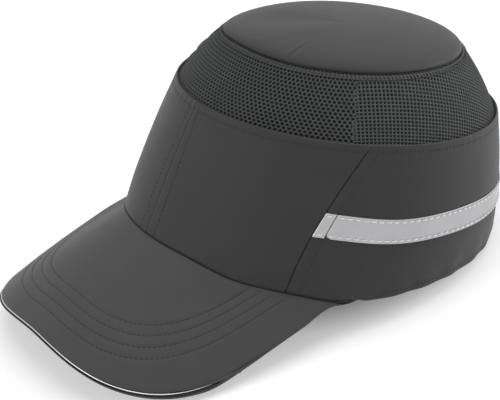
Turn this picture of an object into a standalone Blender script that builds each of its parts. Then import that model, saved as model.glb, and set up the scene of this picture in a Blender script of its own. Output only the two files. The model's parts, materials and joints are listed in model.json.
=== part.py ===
"""Bump cap: a sewn fabric cap with a mesh band, a stiff visor and a hard shell that lifts out.

The cap is drawn level, in its own frame. Its hem lies in the plane z = 0, the visor points along -Y
and the wearer's left is +X. An angle round the crown is 0 at the centre front and grows towards +X.
The finished cap is then tipped back until it rests on the visor's corners and the back of the hem,
as it stands on a table, with the world's origin under the middle of its bounding box.
"""

import math

import bmesh
import bpy
from mathutils import Vector

# Crown: three level ellipses, each with its half width, half length, middle and height
HEM_HALF_WIDTH = 0.0925
HEM_HALF_LENGTH = 0.1125
HEM_CENTRE_Y = -0.0005
BAND_HALF_WIDTH = 0.0823
BAND_HALF_LENGTH = 0.0949
BAND_CENTRE_Y = 0.0145
BAND_HEIGHT = 0.0814
BAND_FRONT_RISE = 0.0123
TOP_HALF_WIDTH = 0.0556
TOP_HALF_LENGTH = 0.0683
TOP_CENTRE_Y = 0.0189
TOP_HEIGHT = 0.1127
TOP_FRONT_RISE = 0.0075
TOP_DOME = 0.0085
WALL_SWELL_WIDTH = 0.0047
WALL_SWELL_LENGTH = 0.0012
MESH_SWELL = 0.0024

# Cloth layers and the clearance between pieces that touch
CLOTH = 0.0012
MESH_THICKNESS = 0.0008
TAPE_THICKNESS = 0.0008
FIT = 0.0004
SEAM_GAP = 0.0003
MESH_LAP = 0.003

# Seams: the side seam runs back as it climbs
SIDE_SEAM_FOOT = math.radians(52.5)
SIDE_SEAM_SWEEP = math.radians(15.5)
SIDE_SEAM_POWER = 1.6
SEAM_TAPE_WIDTH = 0.009

# Visor: an arched sheet that droops towards its free edge, its plan a superellipse
VISOR_ROOT_HEIGHT = 0.02146
VISOR_SLOPE = 0.4462
VISOR_DROOP = 1.58
VISOR_ARCH_RADIUS = 0.107
VISOR_SET_IN = 0.003
VISOR_LENGTH = 0.0703
VISOR_SET_BACK = 0.031
VISOR_POWER = 2.75
VISOR_END_ANGLE = math.radians(104)
VISOR_ROOT_ANGLE = math.radians(66.5)
VISOR_COVER = 0.0008
VISOR_BOARD = 0.0018
VISOR_BOARD_MARGIN = 0.002
PIPING_RADIUS = 0.00065
PIPING_REACH = 0.0003
PIPING_END_ANGLE = math.radians(72)

# Reflective tape round the sides and back
TAPE_WIDTH = 0.0149
TAPE_HEIGHT = 0.0388
TAPE_FRONT_RISE = 0.014
TAPE_TAB_ANGLE = math.radians(4)

# Inside the hem
HEM_TAPE_WIDTH = 0.012
SWEATBAND_WIDTH = 0.027
SWEATBAND_THICKNESS = 0.0018
HEM_MARGIN = 0.001
HEM_TURN = 0.0015

# Rear opening and its hook-and-loop strap, two arcs about an upright axis behind the head
OPENING_RADIUS = 0.040
STRAP_ARC_EASE = 0.003
STRAP_WIDTH = 0.018
STRAP_LIFT = 0.002
STRAP_THICKNESS = 0.0012
STRAP_POCKET_ROOM = 0.0018
PATCH_THICKNESS = 0.001
PATCH_MARGIN = 0.0015
HOOK_STRAP_REACH = (math.radians(-40), math.radians(6))
PULL_TAB_LENGTH = math.radians(10)
LOOP_STRAP_REACH = (math.radians(-16), math.radians(42))
LOOP_PATCH_REACH = (math.radians(-15), math.radians(20))

# Protective shell, its vents and its foam
SHELL_THICKNESS = 0.0022
SHELL_RIM_CLEARANCE = 0.0093
SHELL_RIM_HEIGHT = 0.041
SHELL_RIM_WAVE = 0.007
SHELL_RIM_FRONT_RISE = 0.006
SHELL_CLEARANCE = 0.0039
SHELL_TOP_CLEARANCE = 0.0026
SHELL_SWELL = 0.003
VENT_EVERY = 4
PAD_THICKNESS = 0.005
PAD_HALF_ANGLE = math.radians(27)
PAD_SHARES = (0.15, 0.85)
CROWN_PAD_THICKNESS = 0.006
CROWN_PAD_SHARE = 2.35
INSERT_PATCH_HALF_ANGLE = math.radians(11)
INSERT_PATCH_FOOT = 0.058
INSERT_PATCH_WIDTH = 0.017

# Facets: the angle between columns where a count isn't given, the counts, and the least steps
COLUMN_ANGLE = math.radians(6)
COLUMNS = {"visor": 26, "piping": 40, "shell": 48, "pad": 8, "patch": 4, "opening": 48}
ROWS = {"panel": 8, "crown": 4, "seam": 5, "reflective": 2, "sweatband": 3, "visor": 5, "shell": 4, "pad": 3}
SHARP_EDGE = math.radians(35)
DERIVATIVE_STEP = 1e-4
MERGE_DISTANCE = 1e-6

FULL_TURN = 2 * math.pi
QUARTER_TURN = math.pi / 2
BACK = math.pi
HEM_BACK_RADIUS = HEM_HALF_WIDTH ** 2 / HEM_HALF_LENGTH
STRAP_ARC_RADIUS = HEM_BACK_RADIUS + STRAP_ARC_EASE
STRAP_AXIS_Y = HEM_CENTRE_Y + HEM_HALF_LENGTH - STRAP_ARC_RADIUS
VISOR_ROOT_Y = HEM_CENTRE_Y - HEM_HALF_LENGTH
VISOR_CENTRE_Y = VISOR_ROOT_Y + VISOR_SET_BACK
VISOR_HALF_LENGTH = VISOR_LENGTH + VISOR_SET_BACK
VISOR_HALF_WIDTH = HEM_HALF_WIDTH - VISOR_SET_IN
VISOR_STACK = 2 * VISOR_COVER + VISOR_BOARD + 2 * FIT
SWEATBAND_INSET = CLOTH + FIT + STRAP_THICKNESS + STRAP_POCKET_ROOM
OPENING_ANGLE = math.asin((OPENING_RADIUS + HEM_MARGIN) / HEM_HALF_WIDTH)

# Colours as linear RGB, with roughness and metallic
FINISHES = {
    "shell_cloth": ((0.072, 0.071, 0.076), 0.85, 0.0),
    "top_cloth": ((0.105, 0.103, 0.109), 0.85, 0.0),
    "visor_cloth": ((0.090, 0.090, 0.093), 0.8, 0.0),
    "mesh": ((0.041, 0.044, 0.042), 0.9, 0.0),
    "reflective": ((0.45, 0.45, 0.46), 0.35, 0.6),
    "webbing": ((0.030, 0.030, 0.032), 0.9, 0.0),
    "pile": ((0.018, 0.018, 0.019), 1.0, 0.0),
    "lining": ((0.025, 0.025, 0.027), 0.95, 0.0),
    "board": ((0.06, 0.06, 0.06), 0.5, 0.0),
    "abs": ((0.020, 0.020, 0.021), 0.4, 0.0),
    "foam": ((0.035, 0.035, 0.037), 0.95, 0.0),
}


def clear_scene():
    for item in list(bpy.data.objects):
        bpy.data.objects.remove(item, do_unlink=True)


def new_collection(name):
    collection = bpy.data.collections.new(name)
    bpy.context.scene.collection.children.link(collection)
    return collection


def finish_material(node, finish):
    colour, roughness, metallic = FINISHES[finish]
    material = bpy.data.materials.new(node + "_material")
    material.use_nodes = True
    shader = material.node_tree.nodes["Principled BSDF"]
    shader.inputs["Base Color"].default_value = (*colour, 1.0)
    shader.inputs["Roughness"].default_value = roughness
    shader.inputs["Metallic"].default_value = metallic
    return material


def new_axis(name, position, parent=None):
    axis = bpy.data.objects.new(name, None)
    axis.location = position
    axis.parent = parent
    PARTS.objects.link(axis)
    return axis


# Surfaces: each takes an angle and a share of the way up, and gives a point in the cap's frame


def outward(angle):
    return Vector((math.sin(angle), -math.cos(angle), 0))


def ellipse_point(half_width, half_length, centre_y, angle, height):
    return Vector((half_width * math.sin(angle), centre_y - half_length * math.cos(angle), height))


def visor_height(x, y):
    forward = VISOR_ROOT_Y - y
    arch_drop = VISOR_ARCH_RADIUS - math.sqrt(VISOR_ARCH_RADIUS ** 2 - x ** 2)
    return VISOR_ROOT_HEIGHT - VISOR_SLOPE * forward - VISOR_DROOP * forward ** 2 - arch_drop


def visor_normal(x, y):
    slope_x = -x / math.sqrt(VISOR_ARCH_RADIUS ** 2 - x ** 2)
    slope_y = VISOR_SLOPE + 2 * VISOR_DROOP * (VISOR_ROOT_Y - y)
    return Vector((-slope_x, -slope_y, 1)).normalized()


def visor_depth(x, y, depth):
    """The height of a layer that lies the given depth under the visor's upper face."""
    return visor_height(x, y) - depth / visor_normal(x, y).z


def hem_point(angle):
    point = ellipse_point(HEM_HALF_WIDTH, HEM_HALF_LENGTH, HEM_CENTRE_Y, angle, 0)
    if math.cos(angle) > 0:
        point.z = max(0, visor_depth(point.x, point.y, VISOR_STACK))
    return point


def band_point(angle):
    height = BAND_HEIGHT + BAND_FRONT_RISE * math.cos(angle)
    return ellipse_point(BAND_HALF_WIDTH, BAND_HALF_LENGTH, BAND_CENTRE_Y, angle, height)


def top_point(angle):
    height = TOP_HEIGHT + TOP_FRONT_RISE * math.cos(angle)
    return ellipse_point(TOP_HALF_WIDTH, TOP_HALF_LENGTH, TOP_CENTRE_Y, angle, height)


def swollen(lower, upper, angle, share, swell_width, swell_length):
    swell = 4 * share * (1 - share)
    bulge = Vector((swell_width * math.sin(angle), -swell_length * math.cos(angle), 0))
    return lower.lerp(upper, share) + bulge * swell


def wall(angle, share):
    return swollen(hem_point(angle), band_point(angle), angle, share, WALL_SWELL_WIDTH, WALL_SWELL_LENGTH)


def wall_share(angle, height):
    foot = hem_point(angle).z
    return (height - foot) / (band_point(angle).z - foot)


def domed(rim, angle, share, dome):
    centre = Vector((0, TOP_CENTRE_Y, (rim(0).z + rim(BACK).z) / 2))
    reach = math.cos(share * math.pi / 2)
    point = centre.lerp(rim(angle), reach)
    return point + Vector((0, 0, dome * math.sin(share * math.pi / 2)))


def top(angle, share):
    return domed(top_point, angle, share, TOP_DOME)


def inset(surface, depth):
    """The same surface, moved inwards along its own normal."""
    def moved(u, v):
        along = surface(u + DERIVATIVE_STEP, v) - surface(u - DERIVATIVE_STEP, v)
        up = surface(u, v + DERIVATIVE_STEP) - surface(u, v - DERIVATIVE_STEP)
        normal = along.cross(up)
        at_dome_middle = along.length < DERIVATIVE_STEP * MESH_THICKNESS
        facing = Vector((0, 0, 1)) if at_dome_middle else normal.normalized()
        return surface(u, v) - facing * depth
    return moved


def mesh_foot(angle):
    share = 1 - MESH_LAP / (band_point(angle) - hem_point(angle)).length
    return inset(wall, CLOTH + FIT)(angle, share)


def mesh(angle, share):
    return swollen(mesh_foot(angle), top_point(angle), angle, share, MESH_SWELL, MESH_SWELL)


def side_seam(share):
    return SIDE_SEAM_FOOT + SIDE_SEAM_SWEEP * max(share, 0) ** SIDE_SEAM_POWER


def shell_rim(angle):
    wave = SHELL_RIM_WAVE * math.cos(2 * angle) + SHELL_RIM_FRONT_RISE * math.cos(angle)
    beside_rim = wall(angle, wall_share(angle, SHELL_RIM_HEIGHT + wave))
    return beside_rim - outward(angle) * SHELL_RIM_CLEARANCE


def shell_shoulder(angle):
    return band_point(angle) - outward(angle) * SHELL_CLEARANCE - Vector((0, 0, MESH_THICKNESS))


def shell_top_rim(angle):
    drop = Vector((0, 0, SHELL_TOP_CLEARANCE))
    return top_point(angle) - outward(angle) * SHELL_TOP_CLEARANCE - drop


def shell(angle, share):
    """The shell's outside: its rim is at share 0, its shoulder at 1, its top's edge at 2, its middle at 3."""
    if share < 1:
        return swollen(shell_rim(angle), shell_shoulder(angle), angle, share, SHELL_SWELL, SHELL_SWELL / 3)
    if share < 2:
        upper = shell_top_rim(angle)
        return swollen(shell_shoulder(angle), upper, angle, share - 1, MESH_SWELL, MESH_SWELL)
    return domed(shell_top_rim, angle, min(share - 2, 1), TOP_DOME - CLOTH)


def strap_arc(radius):
    def surface(angle, height):
        return ellipse_point(radius, radius, STRAP_AXIS_Y, angle, height)
    return surface


def visor_outline(turn, reach):
    bend = 2 / VISOR_POWER
    across = math.copysign(abs(math.sin(turn)) ** bend, math.sin(turn))
    ahead = math.copysign(abs(math.cos(turn)) ** bend, math.cos(turn))
    half_width = VISOR_HALF_WIDTH + reach
    half_length = VISOR_HALF_LENGTH + reach
    return Vector((half_width * across, VISOR_CENTRE_Y - half_length * ahead, 0))


def visor_layer(depth, thickness, reach):
    """A layer of the visor: u runs from end to end, v from the free edge to the crown."""
    def surface(u, v):
        angle = u * VISOR_ROOT_ANGLE
        foot = hem_point(angle)
        normal = visor_normal(foot.x, foot.y)
        lift = (VISOR_STACK - depth - thickness) / normal.z
        root = wall(angle, lift / (band_point(angle).z - foot.z))
        root += outward(angle) * (FIT + thickness * normal.dot(outward(angle)))
        turn = math.copysign(abs(u) ** (VISOR_POWER / 2), u) * VISOR_END_ANGLE
        point = visor_outline(turn, reach).lerp(root, v)
        point.z = visor_depth(point.x, point.y, depth)
        return point

    return surface


# Solids


def column_count(start, end):
    return max(1, round(abs(end - start) / COLUMN_ANGLE))


def add_object(node, mesh_data, finish, parent, pivot):
    mesh_data.shade_smooth()
    mesh_data.set_sharp_from_angle(angle=SHARP_EDGE)
    mesh_data.materials.append(finish_material(node, finish))
    item = bpy.data.objects.new(node, mesh_data)
    item.location = pivot
    item.parent = parent
    PARTS.objects.link(item)
    return item


def add_sheet(node, place, columns, rows, thickness, finish, parent, pivot=Vector(), holes=None):
    """A grid laid on a surface and thickened inwards; place maps its two shares to a point."""
    grid = bmesh.new()
    bmesh.ops.create_grid(grid, x_segments=columns, y_segments=rows, size=0.5)
    if holes:
        cut = [face for face in grid.faces if holes(face.calc_center_median())]
        bmesh.ops.delete(grid, geom=cut, context="FACES")
    for vertex in grid.verts:
        vertex.co = place(vertex.co.x + 0.5, vertex.co.y + 0.5) - pivot
    bmesh.ops.remove_doubles(grid, verts=grid.verts[:], dist=MERGE_DISTANCE)
    mesh_data = bpy.data.meshes.new(node)
    grid.to_mesh(mesh_data)
    grid.free()
    item = add_object(node, mesh_data, finish, parent, pivot)
    solidify = item.modifiers.new("thickness", "SOLIDIFY")
    solidify.thickness = thickness
    solidify.offset = -1
    solidify.use_even_offset = True
    return item


def between(start, end, share):
    return start + (end - start) * share


def window(surface, start, end, low, high):
    """Grid shares to a patch of a surface; the four sides are numbers or rules of the other share."""
    def place(u, v):
        foot = low(between(start(0.5), end(0.5), u)) if callable(low) else low
        head = high(between(start(0.5), end(0.5), u)) if callable(high) else high
        height = between(foot, head, v)
        return surface(between(start(height), end(height), u), height)
    return place


def fixed(value):
    return lambda share: value


def beside(rule, step):
    return lambda share: rule(share) + step


def half_seam(share):
    return SEAM_GAP / 2 / BAND_HALF_LENGTH


def add_panels(frame):
    def front_of(share):
        return side_seam(share) - half_seam(share)

    def behind(share):
        return side_seam(share) + half_seam(share)

    spans = {
        "front_panel_left": (half_seam, front_of),
        "back_panel_left": (behind, lambda share: BACK - half_seam(share)),
        "back_panel_right": (lambda share: BACK + half_seam(share), lambda share: FULL_TURN - behind(share)),
        "front_panel_right": (lambda share: -front_of(share), lambda share: -half_seam(share)),
    }
    for node, (start, end) in spans.items():
        columns = column_count(start(0.5), end(0.5))
        at_back = node.startswith("back")
        foot = -HEM_TURN / BAND_HEIGHT if at_back else 0
        place = window(wall, start, end, foot, 1)
        panel = add_sheet(node, place, columns, ROWS["panel"], CLOTH, "shell_cloth", frame)
        if at_back:
            cut(panel, HEM_CUT)
            cut(panel, OPENING)


def cut(item, cutter):
    boolean = item.modifiers.new(cutter.name, "BOOLEAN")
    boolean.operation = "DIFFERENCE"
    boolean.solver = "EXACT"
    boolean.object = cutter


def keep_as_cutter(item, name, frame):
    item.name = name
    item.parent = frame
    item.hide_render = True
    item.display_type = "WIRE"
    for collection in item.users_collection:
        collection.objects.unlink(item)
    CUTTERS.objects.link(item)
    return item


def add_opening_cutter(frame):
    """A lying cylinder that cuts the half-moon out of the back of the hem."""
    bpy.ops.mesh.primitive_cylinder_add(
        vertices=COLUMNS["opening"], radius=OPENING_RADIUS, depth=HEM_HALF_LENGTH,
        location=(0, HEM_HALF_LENGTH, 0), rotation=(QUARTER_TURN, 0, 0))
    return keep_as_cutter(bpy.context.object, "rear_opening", frame)


def add_hem_cutter(frame):
    """A block under the cap that leaves the back panels' lower edges flat."""
    size = 4 * HEM_HALF_LENGTH
    bpy.ops.mesh.primitive_cube_add(size=size, location=(0, 0, -size / 2))
    return keep_as_cutter(bpy.context.object, "hem_line", frame)


def add_crown(frame):
    round_columns = column_count(0, FULL_TURN)
    seam_share = 1 - SEAM_GAP / (top_point(0) - band_point(0)).length * 2
    all_round = (fixed(0), fixed(FULL_TURN))
    band = window(mesh, *all_round, 0, seam_share)
    disc = window(top, *all_round, 0, 1)
    add_sheet("mesh_band", band, round_columns, ROWS["crown"], MESH_THICKNESS, "mesh", frame)
    add_sheet("crown_top_panel", disc, round_columns, ROWS["crown"], CLOTH, "top_cloth", frame)


def add_seam_tapes(frame):
    lining = inset(wall, CLOTH + FIT)
    half = SEAM_TAPE_WIDTH / 2 / BAND_HALF_LENGTH
    head = 1 - 2 * MESH_LAP / BAND_HEIGHT

    def above_sweatband(angle):
        return wall_share(angle, hem_point(angle).z + HEM_MARGIN + SWEATBAND_WIDTH + HEM_MARGIN)

    def above_opening(angle):
        return wall_share(angle, OPENING_RADIUS + HEM_MARGIN)

    seams = {
        "centre_front_seam_tape": (fixed(0), above_sweatband),
        "side_seam_tape_left": (side_seam, above_sweatband),
        "centre_back_seam_tape": (fixed(BACK), above_opening),
        "side_seam_tape_right": (lambda share: -side_seam(share), above_sweatband),
    }
    for node, (seam, foot) in seams.items():
        place = window(lining, beside(seam, -half), beside(seam, half), foot, head)
        add_sheet(node, place, 2, ROWS["seam"], TAPE_THICKNESS, "lining", frame)


def add_reflective_tape(frame):
    proud = inset(wall, -SEAM_GAP - TAPE_THICKNESS)

    def edge(side):
        def share(angle):
            height = TAPE_HEIGHT + TAPE_FRONT_RISE * math.cos(angle) + side * TAPE_WIDTH / 2
            return wall_share(angle, height)
        return share

    def tab_start(share):
        return side_seam(share) + half_seam(share)

    def tab_end(share):
        return side_seam(share) + TAPE_TAB_ANGLE - half_seam(share)

    def tape_start(share):
        return side_seam(share) + TAPE_TAB_ANGLE + half_seam(share)

    def mirrored(rule):
        return lambda share: FULL_TURN - rule(share)

    spans = {
        "tape_tab_left": (tab_start, tab_end),
        "reflective_tape_left": (tape_start, fixed(BACK - half_seam(0))),
        "tape_tab_right": (mirrored(tab_end), mirrored(tab_start)),
        "reflective_tape_right": (fixed(BACK + half_seam(0)), mirrored(tape_start)),
    }
    for node, (start, end) in spans.items():
        place = window(proud, start, end, edge(-1), edge(1))
        columns = column_count(start(0.5), end(0.5))
        tape = add_sheet(node, place, columns, ROWS["reflective"], TAPE_THICKNESS, "reflective", frame)
        if node.startswith("reflective"):
            cut(tape, OPENING)


def add_hem(frame):
    def lifted(amount):
        return lambda angle: wall_share(angle, hem_point(angle).z + amount)

    start = fixed(OPENING_ANGLE - BACK)
    end = fixed(BACK - OPENING_ANGLE)
    columns = column_count(start(0), end(0))
    band = window(inset(wall, SWEATBAND_INSET), start, end, lifted(HEM_MARGIN),
                  lifted(HEM_MARGIN + SWEATBAND_WIDTH))
    add_sheet("sweatband", band, columns, ROWS["sweatband"], SWEATBAND_THICKNESS, "lining", frame)
    pocket = fixed(BACK - OPENING_ANGLE + HOOK_STRAP_REACH[0] / 2 - COLUMN_ANGLE)
    tape = window(inset(wall, CLOTH + FIT), start, pocket, lifted(HEM_MARGIN),
                  lifted(HEM_MARGIN + HEM_TAPE_WIDTH))
    add_sheet("hem_tape", tape, column_count(start(0), pocket(0)), 1, STRAP_THICKNESS, "lining", frame)


def add_visor(frame):
    board_depth = VISOR_COVER + FIT
    lower_depth = board_depth + VISOR_BOARD + FIT
    layers = {
        "visor_upper_cover": (0, VISOR_COVER, 0, "visor_cloth"),
        "visor_board": (board_depth, VISOR_BOARD, -VISOR_BOARD_MARGIN, "board"),
        "visor_lower_cover": (lower_depth, VISOR_COVER, 0, "visor_cloth"),
    }
    for node, (depth, thickness, reach, finish) in layers.items():
        place = window(visor_layer(depth, thickness, reach), fixed(-1), fixed(1), 0, 1)
        add_sheet(node, place, COLUMNS["visor"], ROWS["visor"], thickness, finish, frame)
    add_piping(frame, board_depth)


def add_piping(frame, depth):
    edge = visor_layer(depth + PIPING_RADIUS, 0, PIPING_REACH)
    reach = (PIPING_END_ANGLE / VISOR_END_ANGLE) ** (2 / VISOR_POWER)
    curve = bpy.data.curves.new("visor_piping", "CURVE")
    curve.dimensions = "3D"
    curve.bevel_depth = PIPING_RADIUS
    curve.bevel_resolution = 1
    curve.use_fill_caps = True
    spline = curve.splines.new("POLY")
    spline.points.add(COLUMNS["piping"])
    for index, point in enumerate(spline.points):
        share = 2 * index / COLUMNS["piping"] - 1
        point.co = (*edge(share * reach, 0), 1)
    curve.materials.append(finish_material("visor_piping", "reflective"))
    item = bpy.data.objects.new("visor_piping", curve)
    item.parent = frame
    PARTS.objects.link(item)


def add_strap(frame):
    axis_point = Vector((0, STRAP_AXIS_Y, 0))
    strap_axis = new_axis("strap_adjust_axis", axis_point, frame)
    low = STRAP_LIFT
    high = STRAP_LIFT + STRAP_WIDTH

    hook_radius = STRAP_ARC_RADIUS - CLOTH - FIT
    hook_patch_radius = hook_radius - STRAP_THICKNESS - SEAM_GAP
    loop_patch_radius = hook_patch_radius - PATCH_THICKNESS - SEAM_GAP
    loop_radius = STRAP_ARC_RADIUS - SWEATBAND_INSET - SWEATBAND_THICKNESS - FIT

    tab_start = BACK + HOOK_STRAP_REACH[1]
    tab_gap = SEAM_GAP / STRAP_ARC_RADIUS
    hinge_in_strap = strap_arc(hook_radius)(tab_start, low) - axis_point
    tab_axis = new_axis("tab_peel_axis", hinge_in_strap, strap_axis)
    hinge = hinge_in_strap + axis_point
    patch_gap = PATCH_MARGIN / STRAP_ARC_RADIUS
    tab_end = tab_start + PULL_TAB_LENGTH

    def arc(node, radius, start, end, margin, thickness, finish, pivot, parent, local):
        place = window(strap_arc(radius), fixed(start), fixed(end), low + margin, high - margin)
        item = add_sheet(node, place, max(2, column_count(start, end)), 1, thickness, finish, parent, pivot)
        item.location = local
        return item

    nowhere = Vector()
    arc("strap_hook_side", hook_radius, BACK + HOOK_STRAP_REACH[0], tab_start - tab_gap, 0,
        STRAP_THICKNESS, "webbing", axis_point, strap_axis, nowhere)
    arc("strap_pull_tab", hook_radius, tab_start, tab_end, 0,
        STRAP_THICKNESS, "webbing", hinge, tab_axis, nowhere)
    arc("strap_hook_patch", hook_patch_radius, tab_start + patch_gap, tab_end - patch_gap, PATCH_MARGIN,
        PATCH_THICKNESS, "pile", hinge, tab_axis, nowhere)
    arc("strap_loop_patch", loop_patch_radius, BACK + LOOP_PATCH_REACH[0], BACK + LOOP_PATCH_REACH[1],
        PATCH_MARGIN, loop_patch_radius - loop_radius - SEAM_GAP, "pile", nowhere, frame, nowhere)
    arc("strap_loop_side", loop_radius, BACK + LOOP_STRAP_REACH[0], BACK + LOOP_STRAP_REACH[1], 0,
        STRAP_THICKNESS, "webbing", nowhere, frame, nowhere)


def add_insert(frame):
    insert = new_axis("insert_axis", Vector(), frame)
    all_round = (fixed(0), fixed(FULL_TURN))
    rows = 3 * ROWS["shell"]

    def is_vent(centre):
        row = math.floor((centre.y + 0.5) * rows)
        column = math.floor((centre.x + 0.5) * COLUMNS["shell"])
        under_mesh = ROWS["shell"] < row < 2 * ROWS["shell"] - 1
        return under_mesh and column % VENT_EVERY == 0

    place = window(shell, *all_round, 0, 3)
    columns = COLUMNS["shell"]
    add_sheet("protective_shell", place, columns, rows, SHELL_THICKNESS, "abs", insert, holes=is_vent)

    padding = inset(shell, SHELL_THICKNESS + FIT)
    pads = {"front_pad": 0, "side_pad_left": QUARTER_TURN, "back_pad": BACK, "side_pad_right": -QUARTER_TURN}
    for node, middle in pads.items():
        place = window(padding, fixed(middle - PAD_HALF_ANGLE), fixed(middle + PAD_HALF_ANGLE), *PAD_SHARES)
        add_sheet(node, place, COLUMNS["pad"], ROWS["pad"], PAD_THICKNESS, "foam", insert)
    crown = window(padding, *all_round, CROWN_PAD_SHARE, 3)
    add_sheet("crown_pad", crown, COLUMNS["shell"], ROWS["pad"], CROWN_PAD_THICKNESS, "foam", insert)
    add_insert_patches(frame, insert)


def add_insert_patches(frame, insert):
    """Loop pile inside the side panels, and the hooks on the shell that hold to it."""
    loop_side = inset(wall, CLOTH + FIT)
    hook_outset = SHELL_CLEARANCE - CLOTH - TAPE_THICKNESS - 3 * FIT
    hook_side = inset(shell, -hook_outset - SEAM_GAP)
    foot = INSERT_PATCH_FOOT
    head = INSERT_PATCH_FOOT + INSERT_PATCH_WIDTH

    def shell_share(angle, height):
        return (height - shell_rim(angle).z) / (shell_shoulder(angle).z - shell_rim(angle).z)

    def at_height(share_of, height):
        return lambda angle: share_of(angle, height)

    for side, middle in (("left", QUARTER_TURN), ("right", -QUARTER_TURN)):
        start = fixed(middle - INSERT_PATCH_HALF_ANGLE)
        end = fixed(middle + INSERT_PATCH_HALF_ANGLE)
        loop = window(loop_side, start, end, at_height(wall_share, foot), at_height(wall_share, head))
        hook = window(hook_side, start, end, at_height(shell_share, foot), at_height(shell_share, head))
        add_sheet("insert_loop_" + side, loop, COLUMNS["patch"], ROWS["pad"], TAPE_THICKNESS, "pile", frame)
        add_sheet("insert_hook_" + side, hook, COLUMNS["patch"], ROWS["pad"], hook_outset, "pile", insert)


# Standing the cap on its visor and hem


def part_points():
    """Every vertex of the finished parts, in world space."""
    graph = bpy.context.evaluated_depsgraph_get()
    points = []
    for item in PARTS.objects:
        if item.type == "EMPTY":
            continue
        evaluated = item.evaluated_get(graph)
        mesh_data = evaluated.to_mesh()
        points += [evaluated.matrix_world @ vertex.co for vertex in mesh_data.vertices]
        evaluated.to_mesh_clear()
    return points


def resting_slope(points):
    """The slope of the line, seen from the side, that the cap rests on in front of and behind its middle."""
    ahead = [point for point in points if point.y < 0]
    behind = [point for point in points if point.y >= 0]
    foot = min(behind, key=lambda point: point.z)
    while True:
        front = max(ahead, key=lambda point: (foot.z - point.z) / (foot.y - point.y))
        slope = (foot.z - front.z) / (foot.y - front.y)
        lowest = min(behind, key=lambda point: point.z - slope * point.y)
        if lowest.z - slope * lowest.y >= foot.z - slope * foot.y - MERGE_DISTANCE:
            return slope
        foot = lowest


def stand_on_table(frame):
    frame.rotation_euler.x = -math.atan(resting_slope(part_points()))
    bpy.context.view_layer.update()
    points = part_points()
    ys = [point.y for point in points]
    frame.location = (0, -(min(ys) + max(ys)) / 2, -min(point.z for point in points))
    bpy.context.view_layer.update()


clear_scene()
PARTS = new_collection("bump_cap")
CUTTERS = new_collection("cutters")
cap = new_axis("cap_frame", Vector())
OPENING = add_opening_cutter(cap)
HEM_CUT = add_hem_cutter(cap)
add_panels(cap)
add_crown(cap)
add_seam_tapes(cap)
add_reflective_tape(cap)
add_hem(cap)
add_visor(cap)
add_strap(cap)
add_insert(cap)
bpy.context.view_layer.update()
stand_on_table(cap)
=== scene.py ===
"""The bump cap as it is sewn: cloth panels, a knitted net, stitching, tape, webbing and lining.

Everything is drawn in the cap's own frame. Its hem lies in the plane z = 0, the visor points along -Y, and
an angle round the crown is 0 at the centre front and grows towards the wearer's left, +X. A share runs up a
surface from its lower edge at 0 to its upper edge at 1. The record's head mount places that frame.
"""

import json
import math

import bmesh
import bpy
import numpy as np
from mathutils import Matrix, Vector, noise


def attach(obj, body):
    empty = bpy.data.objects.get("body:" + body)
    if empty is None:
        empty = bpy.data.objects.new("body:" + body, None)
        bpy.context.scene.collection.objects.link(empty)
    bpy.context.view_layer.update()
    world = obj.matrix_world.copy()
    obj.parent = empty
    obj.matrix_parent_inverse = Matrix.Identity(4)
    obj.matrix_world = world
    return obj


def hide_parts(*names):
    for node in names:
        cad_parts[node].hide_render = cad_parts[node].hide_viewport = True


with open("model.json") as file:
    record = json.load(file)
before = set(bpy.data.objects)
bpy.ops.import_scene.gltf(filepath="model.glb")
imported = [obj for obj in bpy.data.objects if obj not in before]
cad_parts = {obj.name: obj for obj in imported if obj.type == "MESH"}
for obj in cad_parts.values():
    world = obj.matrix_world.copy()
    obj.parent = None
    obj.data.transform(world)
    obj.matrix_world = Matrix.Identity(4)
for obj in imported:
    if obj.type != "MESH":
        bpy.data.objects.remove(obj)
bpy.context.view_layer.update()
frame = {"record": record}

# Crown: three level ellipses, and how far the cloth between them swells
HEM_HALF_WIDTH = 0.0925
HEM_HALF_LENGTH = 0.1125
HEM_CENTRE_Y = -0.0005
BAND_HALF_WIDTH = 0.0823
BAND_HALF_LENGTH = 0.0949
BAND_CENTRE_Y = 0.0145
BAND_HEIGHT = 0.0814
BAND_FRONT_RISE = 0.0123
TOP_HALF_WIDTH = 0.0556
TOP_HALF_LENGTH = 0.0683
TOP_CENTRE_Y = 0.0189
TOP_HEIGHT = 0.1127
TOP_FRONT_RISE = 0.0075
TOP_DOME = 0.0085
TOP_NEAR_MIDDLE = 0.995
WALL_SWELL_WIDTH = 0.0047
WALL_SWELL_LENGTH = 0.0012
MESH_SWELL = 0.0024

# Cloth layers, and the room between pieces that touch
CLOTH = 0.0012
NET_THICKNESS = 0.0008
TAPE_THICKNESS = 0.0006
FIT = 0.0004
SEAM_GAP = 0.0003
MESH_LAP = 0.003
EDGE_BULGE = 0.4
WELD_DISTANCE = 1e-7

# The least side of a piece's flat size
LEAST_SIDE = 0.0101

# Seams
SIDE_SEAM_FOOT = math.radians(51.8)
SIDE_SEAM_SWEEP = math.radians(17.2)
SIDE_SEAM_POWER = 2.2
SEAM_TAPE_WIDTH = 0.0104
# A dark cord in each side seam: painted shade for the seam's crevice
SEAM_SHADE_CORD_RADIUS = 0.00030
SEAM_SHADE_CORD_DEPTH = 0.00005

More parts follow.
